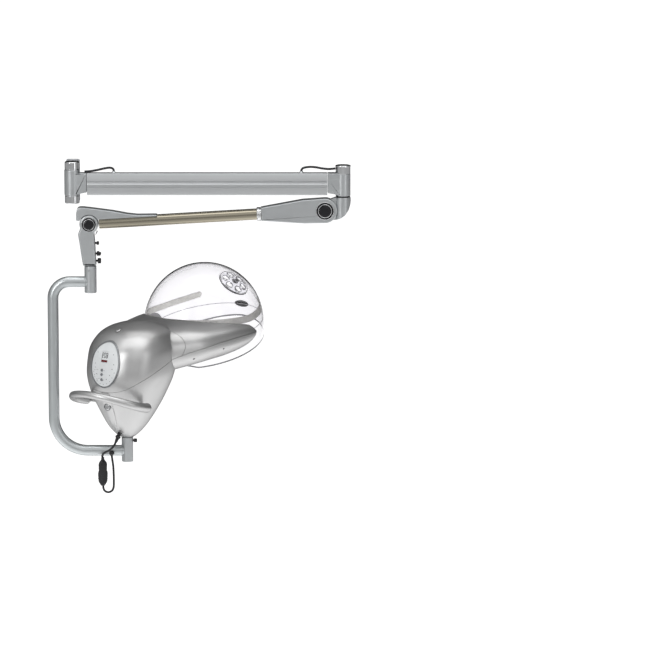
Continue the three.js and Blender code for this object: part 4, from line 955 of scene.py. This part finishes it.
def head_piece(obj, slot_name, replaces=(), body="dryer_head", **more):
    return piece(to_head(obj), body, slot_name, replaces, **more)


def shells():
    shell = body_block(0)
    cut(shell, fork_block(0), how="UNION")
    cut(shell, dome_block(0.8))
    void = body_block(-WALL, 30, 96)
    cut(void, fork_block(WALL, 80), how="UNION")
    cut(void, dome_block(WALL + 0.8))
    cut(shell, void)
    cut(shell, drum("stem", (0, 0, -5), (0, 0, 72), 9.3),
        drum("gland", GLAND_IN, GLAND_OUT, GLAND_R + 0.3, sides=32),
        block("window", -130, -60, -DISPLAY_W / 2, DISPLAY_W / 2, PANEL_Z + DISPLAY_Z - DISPLAY_H / 2,
        PANEL_Z + DISPLAY_Z + DISPLAY_H / 2, 0), block("keys", -130, -60, BUTTON_SIDE - 7, BUTTON_SIDE + 7,
        PANEL_Z - 47, PANEL_Z - 7, 0), drum("power", (-130, 0, POWER_Z), (-60, 0, POWER_Z), POWER_R + 0.5),
        drum("knob", TOP_KNOB - TOP_KNOB_AXIS * 12, TOP_KNOB + TOP_KNOB_AXIS * 12, 3.4, sides=32))
    for s in (-1, 1):
        cut(shell, drum("stud", (HANDLE_F, s * 55, HANDLE_Z), (HANDLE_F, s * 130, HANDLE_Z), 5.4, sides=32),
            block("outlet", DOME_F - 75, DOME_F - 15, min(s * 120, s * 172), max(s * 120, s * 172),
            DOME_EQ - 7, DOME_EQ + 9, 0))
        for f, z in ((205, 236), (118, 216)):
            y = s * (166 if f > 150 else 128)
            cut(shell, drum("screw", (f, y, z), (f, s * 210, z), 2.4, sides=24))
    lower, above = copy_of(shell, "lower_moulding"), shell
    cut(lower, above_seam(-SEAM_GAP / 2))
    cut(above, above_seam(SEAM_GAP / 2), how="INTERSECT")
    fork = copy_of(above, "fork_moulding")
    cut(above, behind_arc(-SEAM_GAP / 2), how="INTERSECT")
    cut(fork, behind_arc(SEAM_GAP / 2))
    above.name = "rear_moulding"
    head_piece(lower, "shell_silver", ["lower_shell"])
    head_piece(above, "shell_silver", ["rear_cover"])
    head_piece(fork, "shell_silver", ["fork_cover"])


shells()


def panel():
    shape = oval(0, PANEL_Z, PANEL_W - 4.5, PANEL_H - 4.5, 96)
    face = rear_patch("panel_membrane", shape, 0.35, 2.3, 0.8, 12)
    z = PANEL_Z + DISPLAY_Z
    cut(face, block("window", -150, -60, -DISPLAY_W / 2, DISPLAY_W / 2, z - DISPLAY_H / 2, z + DISPLAY_H / 2,
        0.6))
    cut(face, *[drum("key", (-150, BUTTON_SIDE, PANEL_Z + dz), (-60, BUTTON_SIDE, PANEL_Z + dz),
        BUTTON_R + 0.35) for dz in BUTTONS.values()])
    head_piece(face, "panel_face", ["control_panel"])

    rings = []
    profile = [(0.0, 0.35), (0.0, 1.9), (0.25, 2.4), (0.9, 2.6), (2.6, 2.6), (3.4, 2.2), (3.8, 1.5),
        (4.0, 0.35)]
    for inset, lift in profile:
        rings.append([rear_point((PANEL_W - inset) * c, PANEL_Z + (PANEL_H - inset) * s, lift) for c,
            s in around(128)])
    bezel = make("panel_bezel", *wrapped(rings))
    head_piece(bezel, "shell_silver", mat=BEZEL)

    window = contour([(-DISPLAY_W / 2 + 0.4, z - DISPLAY_H / 2 + 0.4),
        (DISPLAY_W / 2 - 0.4, z - DISPLAY_H / 2 + 0.4), (DISPLAY_W / 2 - 0.4, z + DISPLAY_H / 2 - 0.4),
        (-DISPLAY_W / 2 + 0.4, z + DISPLAY_H / 2 - 0.4)], 1.2, 4)
    glass = rear_patch("display_glass", window, -1.5, 1.7, 0.5, 8)
    head_piece(glass, "panel_face", ["display"])

    def printed(name, y0, y1, z0, z1, lift):
        corners = contour([(y0, z0), (y1, z0), (y1, z1), (y0, z1)], 0.4, 2)
        return rear_patch(name, corners, 1.0, 1.7 + lift, 0.12, 3)

    segments = []
    for k in range(3):
        y0 = (k - 1) * 6.8
        for dy, dz, w, h in ((0, 6.4, 3.6, 1.6), (0, 0, 3.6, 1.6), (0, -6.4, 3.6, 1.6), (2.0, 3.2, 1.4, 5.6),
                (-2.0, 3.2, 1.4, 5.6), (2.0, -3.2, 1.4, 5.6), (-2.0, -3.2, 1.4, 5.6)):
            if (k, dy, dz) in ((1, 0, 0), (2, -2.0, -3.2)):
                continue
            middle = z + 4.2 + dz
            segments.append(printed("bar", y0 + dy - w / 2, y0 + dy + w / 2, middle - h / 2, middle + h / 2,
                0.15))
    head_piece(joined("display_digits", *segments), "display_window", mat=PRINT_GREY)
    lens = printed("display_red_bar", -10.2, 10.2, z - 13.6, z - 8.2, 0.5)
    head_piece(lens, "display_window", mat=RED_LENS)

    for name, dz in BUTTONS.items():
        x = rear_point(0, PANEL_Z + dz, 3.8)[0]
        key = lathed(name + "_cap", [(0, -5), (BUTTON_R, -5), (BUTTON_R, 0), (2.5, 0.15), (0, -0.25)],
            [0, 0, 0.7, 1.2, 0], 5, facing((x, BUTTON_SIDE, PANEL_Z + dz), (-1, 0, 0)), 48)
        head_piece(key, "panel_face", [name], body=name.replace("button", "key"), mat=KEY_GREY)

    marks = []

    def mark(y, dz, r):
        p = rear_point(y, PANEL_Z + dz, 2.3)
        shift, a, b = row_at(PANEL_Z + dz)
        out = unit(np.array(((p[0] - shift) / a ** 2, y / b ** 2, 0)))
        marks.append(lathed("dot", [(0, -0.4), (r, -0.4), (r, 0.14), (0, 0.18)], [0, 0, 0.1, 0], 2,
            facing(p, out), 20))

    for k in range(9):
        a = math.radians(200 + 17 * k)
        mark((PANEL_W - 11) * math.cos(a), (PANEL_H - 11) * math.sin(a), 0.95)
    for k in range(7):
        a = math.radians(192 + 26 * k)
        mark((PANEL_W - 20) * math.cos(a), (PANEL_H - 22) * math.sin(a), 1.15)
    for y, dz in ((31, -16), (31, -30), (28, 32), (-28, 30), (31, 2), (-33, 4)):
        mark(y, dz, 1.2)
    for dz in BUTTONS.values():
        for y in (15, 19, -8):
            mark(BUTTON_SIDE + y, dz, 0.8)
    head_piece(joined("panel_print", *marks), "panel_face", mat=PRINT_GREY)


panel()


def rear_fittings():
    outline = contour([(-15.5, 136), (15.5, 136), (17, 118), (15, 80), (8.5, 38), (-8.5, 38), (-15, 80),
        (-17, 118)], [5, 5, 30, 40, 4, 4, 40, 30], 6)
    strip = rear_patch("spine_insert", outline, 0.3, 2.0, 1.1, 10)
    cut(strip, drum("hole", (-150, 0, POWER_Z), (-60, 0, POWER_Z), POWER_R + 0.5))
    head_piece(strip, "shell_silver", ["spine_strip"])

    x = rear_point(0, POWER_Z, 5)[0]
    button = lathed("power_cap", [(0, -14), (POWER_R, -14), (POWER_R, -0.6), (6.2, 0.2), (0, -0.5)],
        [0, 0, 1.8, 3, 0], 6, facing((x, 0, POWER_Z), (-1, 0, 0)), 72)
    head_piece(button, "black_gloss", ["power_button"], body="power_key", mat=POWER_GREY)
    ring = banded("power_ring", [(POWER_R + 0.7, -2.6), (POWER_R + 2.6, -2.6), (POWER_R + 2.2, -0.4),
        (POWER_R + 0.7, -0.2)], 0.5, 4, facing((x + 0.4, 0, POWER_Z), (-1, 0, 0)), 72)
    head_piece(ring, "chrome", mat=BEZEL)

    knob = lathed("top_cap", [(0, -8), (3, -8), (3, 0.8), (8, 0.8), (7.4, 3.2), (5.6, 4.2), (0, 3.8)],
        [0, 0, 0.3, 0.4, 1.2, 1.2, 0], 5, facing(TOP_KNOB, TOP_KNOB_AXIS), 64)
    head_piece(knob, "shell_silver", ["top_knob"], body="thermostat")

    half = [(HANDLE_F, HANDLE_HALF, 0), (HANDLE_F - 30, HANDLE_HALF + 4, 6), (HANDLE_F - 64, HANDLE_HALF, 16),
        (HANDLE_F - 98, HANDLE_HALF - 26, 30), (HANDLE_F - 120, HANDLE_HALF - 64, 40)]
    route = [(f, y, HANDLE_Z + d) for f, y, d in half] + [(HANDLE_F - 128, 0, HANDLE_Z + 44)] + [(f, -y,
        HANDLE_Z + d) for f, y, d in half[::-1]]
    route = through(route, 12)
    flare = (1 - 2 * np.linspace(0, 1, len(route))) ** 2
    loop = tube("handle_loop", route, HANDLE_R - 0.1 + HANDLE_FLARE * flare, 48, ends=10)
    for s in (-1, 1):
        stud = drum("stud", (HANDLE_F, s * 68, HANDLE_Z), (HANDLE_F, s * (HANDLE_HALF - 3), HANDLE_Z), 5,
            sides=40)
        cut(loop, stud, how="UNION")
    clear = body_block(0.3)
    hole = [drum("h", (HANDLE_F, s * 55, HANDLE_Z), (HANDLE_F, s * 135, HANDLE_Z), 5.2,
        sides=40) for s in (-1, 1)]
    cut(clear, *hole)
    cut(loop, clear)
    head_piece(loop, "shell_silver", ["handle"])

    axis = unit(GLAND_OUT - GLAND_IN)
    reach = float(np.linalg.norm(GLAND_OUT - GLAND_IN))
    rows = [(0, 0), (GLAND_R, 0), (GLAND_R, reach * 0.50), (7.5, reach * 0.52), (7.4, reach * 0.62),
        (5.2, reach * 0.67)]
    for k in range(4):
        z = reach * 0.70 + k * reach * 0.075
        rows += [(4.9 - 0.25 * k, z), (4.9 - 0.25 * k, z + 1.5), (4.0 - 0.15 * k, z + 1.7),
            (4.0 - 0.15 * k, z + 2.4)]
    rows += [(3.6, reach), (0, reach)]
    gland = lathed("strain_relief", rows, 0.25, 2, facing(GLAND_IN, axis), 40)
    head_piece(gland, "black_plastic", ["cord_gland"])

    screws = []
    for s in (-1, 1):
        for f, z in ((205, 236), (118, 216)):
            y = s * (168 if f > 150 else 131)
            screws.append(lathed("s", [(0, -6), (2.1, -6), (2.1, 0), (0, 0.4)], [0, 0, .3, 0], 3,
                facing((f, y, z), (0, s, 0)), 24))
    head_piece(joined("shell_screws", *screws), "steel")


rear_fittings()


# ---------------------------------------------------------------- dome, vent, badge and lining strips
DISH_CURVE, PETAL_RING, PETAL_R = 344, 28.5, 10.5


def dome():
    outer, inner = dome_rows(0, rim_height), dome_rows(-DOME_T, rim_height)
    lip = []
    for k in range(1, 6):
        a = math.pi * k / 6
        lip.append([tuple(np.array(o) * (0.5 + 0.5 * math.cos(a)) + np.array(i) * (0.5 - 0.5 * math.cos(a))
            - np.array((0, 0, 1.4 * math.sin(a)))) for o, i in zip(outer[0], inner[0])])
    rings = outer[::-1] + lip + inner
    top, under = (DOME_F, 0, DOME_EQ + DOME_C), (DOME_F, 0, DOME_EQ + DOME_C - DOME_T)
    shell = make("dome_shell", *skin(rings, (top, under)))
    across = math.sqrt(1 - ((VENT_Z - DOME_EQ) / DOME_C) ** 2)
    centre = np.array((DOME_F + DOME_A * across, 0, VENT_Z))
    outward = unit(np.array((across / DOME_A, 0, (VENT_Z - DOME_EQ) / DOME_C ** 2)))
    place = facing(centre, outward)
    cut(shell, drum("mouth", centre - outward * 22, centre + outward * 15, VENT_R + 0.5, sides=96))
    head_piece(shell, "clear_shell", ["dome"])

    def dish(name, radius, top, thick):
        """A shallow dish with six round openings."""
        upper = [(r, top - r * r / DISH_CURVE) for r in np.linspace(0, radius, 14)]
        obj = turned(name, [(r, z - thick) for r, z in upper] + upper[::-1])
        return cut(obj, *[tube("petal", [(PETAL_RING * c, PETAL_RING * s, z) for z in (-20, 20)], PETAL_R,
            48) for c, s in around(6)])

    plate = dish("vent_dish", VENT_R, 1.2, 3.0)
    cut(plate, tube("hole", [(0, 0, -9), (0, 0, 9)], 5.3, 48))
    plate.data.transform(scaled(place))
    head_piece(plate, "clear_shell", ["vent_plate"])

    rims = []
    circles = [(PETAL_RING * c, PETAL_RING * s, PETAL_R + 0.5, 49, 0.75) for c, s in around(6)]
    for x, y, radius, steps, thick in circles + [(0, 0, 44.6, 121, 0.95)]:
        turns = [(x + radius * math.cos(t), y + radius * math.sin(t)) for t in np.linspace(0, 2 * math.pi,
            steps)]
        rims.append(tube("rim", [(u, v, 1.5 - (u ** 2 + v ** 2) / DISH_CURVE) for u, v in turns], thick, 10))
    trim = joined("vent_rims", *rims)
    trim.data.transform(scaled(place))
    head_piece(trim, "clear_shell", mat=VENT_GREY)

    shutter = dish("shutter_dish", VENT_R - 5, -2.4, 2.2)
    shutter.data.transform(scaled(place))
    head_piece(shutter, "clear_shell", body="vent", mat=SMOKE)
    hub = lathed("shutter_hub", [(0, -4.0), (5, -4.0), (5, 1.9), (10, 1.9), (9.4, 4.6), (6.5, 6), (0, 6)],
        [0, 0.4, 0.3, 0.6, 1.2, 1.5, 0], 5, None, 64)
    cut(hub, block("grip", -8.2, 8.2, -1.1, 1.1, 4.3, 7, 0.3))
    hub.data.transform(scaled(place))
    head_piece(hub, "black_plastic", ["vent_shutter"], body="vent")

    cover = dome_patch("badge_plate", oval(0, BADGE_Z, 23.5, 8.6, 72), 0.5, 2.9, 1.4)
    head_piece(cover, "black_gloss", ["badge"])
    edge = dome_ring("badge_rim", 24.0, 9.0, BADGE_Z, 0.45, 2.2)
    head_piece(edge, "chrome", mat=BEZEL)
    dot = lathed("dome_rivet", [(0, -3.6), (1.8, -3.6), (1.8, 0), (3.4, 0), (2.8, 1.2), (0, 1.6)],
        [0, 0, .2, .3, .8, 0], 4, Matrix.Translation((DOME_F - 22, 20, 0)) @ facing((0, 0,
        DOME_EQ + DOME_C * math.sqrt(1 - (22 / DOME_A) ** 2 - (20 / DOME_B) ** 2) + 0.1), (0, 0, 1)), 32)
    head_piece(dot, "black_plastic")

    for side, s in (("left", 1), ("right", -1)):
        strip = lining_strip(f"lining_{side}", s)
        head_piece(strip, "grey_strip", [f"side_strip_{side}"])
    path = []
    for a in np.linspace(-95, 95, 120):
        f = DOME_F + DOME_A * math.cos(math.radians(a))
        path.append(inside_dome(math.radians(a), BADGE_Z - 0.22 * (DOME_F + DOME_A - f), DOME_T + 0.9))
    head_piece(tube("dome_ridge", path, 0.8, 10), "clear_shell", mat=EDGE_GREY)
    path = [np.array(inside_dome_rim(2 * math.pi * k / 240)) for k in range(241)]
    head_piece(tube("dome_lip", path, 1.5, 12), "clear_shell", mat=EDGE_GREY)


def inside_dome_rim(t):
    z = rim_height(t)
    width = math.sqrt(1 - ((z - DOME_EQ) / DOME_LOW_C) ** 2)
    return dome_point(t, width, z + 1.7, -DOME_T / 2)


def scaled(m):
    out = m.copy()
    out.translation *= MM
    return out


def dome_front(y, z, out):
    """A point on the front of the dome at a side offset and a height, moved out."""
    a, b, c = DOME_A + out, DOME_B + out, DOME_C + out
    level = 1 - ((z - DOME_EQ) / c) ** 2 - (y / b) ** 2
    return (DOME_F + a * math.sqrt(max(0.0, level)), y, z)


def dome_patch(name, outline, low, high, crown):
    shape = np.array(outline, float)
    middle = shape.mean(axis=0)
    top, base = [], []
    for s, o in [(0.25, high), (0.5, high - 0.1 * crown), (0.75, high - 0.25 * crown),
            (0.92, high - 0.5 * crown), (0.98, high - 0.8 * crown), (1.0, high - crown)]:
        top.append([dome_front(*(middle + (p - middle) * s), o) for p in shape])
    for s in (1.0, 0.6, 0.25):
        base.append([dome_front(*(middle + (p - middle) * s), low) for p in shape])
    return make(name, *skin(top + base, (dome_front(*middle, high), dome_front(*middle, low))))


def dome_ring(name, rx, ry, z, low, high):
    rings = []
    for inset, out in ((0.35, low), (-1.0, low), (-1.0, high - 0.6), (-0.6, high), (0.0, high),
            (0.35, high - 0.5)):
        rings.append([dome_front((rx - inset) * c, z + (ry - inset) * s, out) for c, s in around(96)])
    return make(name, *wrapped(rings))


def inside_dome(t, z, inset):
    rise = math.asin(min(1.0, (z - DOME_EQ) / (DOME_C - inset)))
    return dome_point(t, math.cos(rise), z, -inset)


STRIP_CURVE = through(STRIP_LINE, 8)


def strip_height(t):
    """Height of the lining strip's middle line at an angle round the dome."""
    z = 290.0
    for _ in range(12):
        f = inside_dome(t, z, DOME_T)[0]
        z = float(np.interp(f, STRIP_CURVE[:, 0], STRIP_CURVE[:, 1]))
    return z


def lining_strip(name, s):
    """A flat strip inside the dome's side, with rounded ends."""
    start, end, steps = math.radians(43.0 if s > 0 else 40.0), math.radians(174.0), 70
    rings = []
    for k in range(steps + 1):
        t = s * (start + (end - start) * k / steps)
        d = min(k, steps - k) * (end - start) / steps * 165
        inner = math.sqrt(max(0.0, STRIP_TIP ** 2 - max(0.0, STRIP_TIP - d) ** 2))
        shrink = STRIP_TIP - inner if d < STRIP_TIP else 0.0
        middle, reach = strip_height(t), STRIP_HALF - min(shrink, 6.6)
        z0, z1 = middle - reach, middle + reach
        rings.append([inside_dome(t, z0, DOME_T + 0.5), inside_dome(t, middle, DOME_T + 0.45),
            inside_dome(t, z1, DOME_T + 0.5), inside_dome(t, z1 - 0.5, DOME_T + 3.2),
            inside_dome(t, middle, DOME_T + 3.3), inside_dome(t, z0 + 0.5, DOME_T + 3.2)])
    return make(name, *skin(rings))


dome()


# ---------------------------------------------------------------- stage and light (metres)
FLOOR_REACH, FLOOR_Z, FLOOR_MIDDLE = 30.0, -1.42, 0.7
GLOW, GLOW_HALF, GLOW_END, GLOW_SPREAD = 0.74, 1.3, 3.0, 0.075
WORLD_STRENGTH = 1.15


def stage():
    """A pale floor with a soft glow in the strip behind the object."""
    left, right = FLOOR_MIDDLE - FLOOR_REACH, FLOOR_MIDDLE + FLOOR_REACH
    corners = [(left, -FLOOR_REACH), (right, -FLOOR_REACH), (right, FLOOR_REACH), (left, FLOOR_REACH)]
    mesh = bpy.data.meshes.new("studio_floor")
    mesh.from_pydata([(x, y, FLOOR_Z) for x, y in corners], [], [(0, 1, 2, 3)])
    floor = bpy.data.objects.new("studio_floor", mesh)
    SCENE.collection.objects.link(floor)
    paper = material("pale_paper", (0.93, 0.93, 0.93), 0.0, 0.75, 0.004, 1.5, 60, 0.0, 0.03)
    nodes, links = paper.node_tree.nodes, paper.node_tree.links
    shader = nodes["Principled BSDF"]
    shader.inputs["Emission Color"].default_value = (1, 1, 1, 1)

    def step(operation, first, second):
        node = nodes.new("ShaderNodeMath")
        node.operation = operation
        for socket, value in zip(node.inputs, (first, second)):
            if isinstance(value, (int, float)):
                socket.default_value = value
            else:
                links.new(value, socket)
        return node.outputs["Value"]

    def fade(value, start, end, low, high):
        node = nodes.new("ShaderNodeMapRange")
        node.interpolation_type = "SMOOTHSTEP"
        limits = (start, end, low, high)
        for name, number in zip(("From Min", "From Max", "To Min", "To Max"), limits):
            node.inputs[name].default_value = number
        links.new(value, node.inputs["Value"])
        return node.outputs["Result"]

    split = nodes.new("ShaderNodeSeparateXYZ")
    links.new(nodes["Texture Coordinate"].outputs["Object"], split.inputs["Vector"])
    aside = step("ABSOLUTE", step("SUBTRACT", split.outputs["X"], FLOOR_MIDDLE), 0)
    aside = step("SUBTRACT", aside, step("MULTIPLY", split.outputs["Y"], GLOW_SPREAD))
    glow = step("MULTIPLY", fade(aside, GLOW_HALF, GLOW_END, GLOW, 0.0), fade(split.outputs["Y"], -1.5, 0.0, 0.08, 1.0))
    links.new(glow, shader.inputs["Emission Strength"])
    mesh.materials.append(paper)


def area_light(name, place, aim, size, power, colour=(1, 1, 1)):
    data = bpy.data.lights.new(name, "AREA")
    data.shape, data.size, data.size_y, data.energy, data.color = "RECTANGLE", size[0], size[1], power, colour
    light = bpy.data.objects.new(name, data)
    light.location = place
    light.rotation_euler = (Vector(aim) - Vector(place)).to_track_quat("-Z", "Y").to_euler()
    SCENE.collection.objects.link(light)
    return light


def lights():
    area_light("overhead_softbox", (0.2, -0.8, 2.2), (0.3, 0.0, -0.4), (3.2, 1.2), 19)
    area_light("key_softbox", (-1.9, -3.0, 0.9), (0.2, 0.0, -0.4), (1.2, 2.4), 30)
    area_light("side_softbox", (2.8, -2.6, 0.4), (0.3, 0.0, -0.4), (0.8, 2.2), 9)
    area_light("floor_wash", (0.7, 0.6, 2.6), (0.7, 1.0, -1.4), (3.0, 1.4), 22)
    world = bpy.data.worlds.new("studio")
    SCENE.world = world
    world.use_nodes = True
    nodes, links = world.node_tree.nodes, world.node_tree.links
    coords, split = nodes.new("ShaderNodeTexCoord"), nodes.new("ShaderNodeSeparateXYZ")
    links.new(coords.outputs["Generated"], split.inputs["Vector"])
    bands = {"Z": [(-1.0, 0.30), (-0.12, 0.34), (0.02, 0.36), (0.16, 0.50), (0.40, 0.85), (1.0, 0.95)],
             "Y": [(-1.0, 1.0), (-0.1, 0.72), (0.25, 0.30), (1.0, 0.14)],
             "X": [(-1.0, 0.9), (-0.42, 1.0), (-0.34, 0.22), (-0.16, 0.22), (-0.06, 1.0), (0.5, 1.0), (0.62, 0.25),
                   (0.85, 0.35), (1.0, 0.7)]}
    value = None
    for axis, stops in bands.items():
        shift, ramp = nodes.new("ShaderNodeMapRange"), nodes.new("ShaderNodeValToRGB")
        shift.inputs["From Min"].default_value, shift.inputs["From Max"].default_value = -1.0, 1.0
        links.new(split.outputs[axis], shift.inputs["Value"])
        links.new(shift.outputs["Result"], ramp.inputs["Fac"])
        while len(ramp.color_ramp.elements) < len(stops):
            ramp.color_ramp.elements.new(0.5)
        for element, (place, bright) in zip(ramp.color_ramp.elements, stops):
            element.position, element.color = (place + 1) / 2, (bright, bright, bright, 1)
        if value is None:
            value = ramp.outputs["Color"]
            continue
        product = nodes.new("ShaderNodeVectorMath")
        product.operation = "MULTIPLY"
        links.new(value, product.inputs[0])
        links.new(ramp.outputs["Color"], product.inputs[1])
        value = product.outputs["Vector"]
    links.new(value, nodes["Background"].inputs["Color"])
    nodes["Background"].inputs["Strength"].default_value = WORLD_STRENGTH
    SCENE.view_settings.view_transform = "Standard"


stage()
lights()
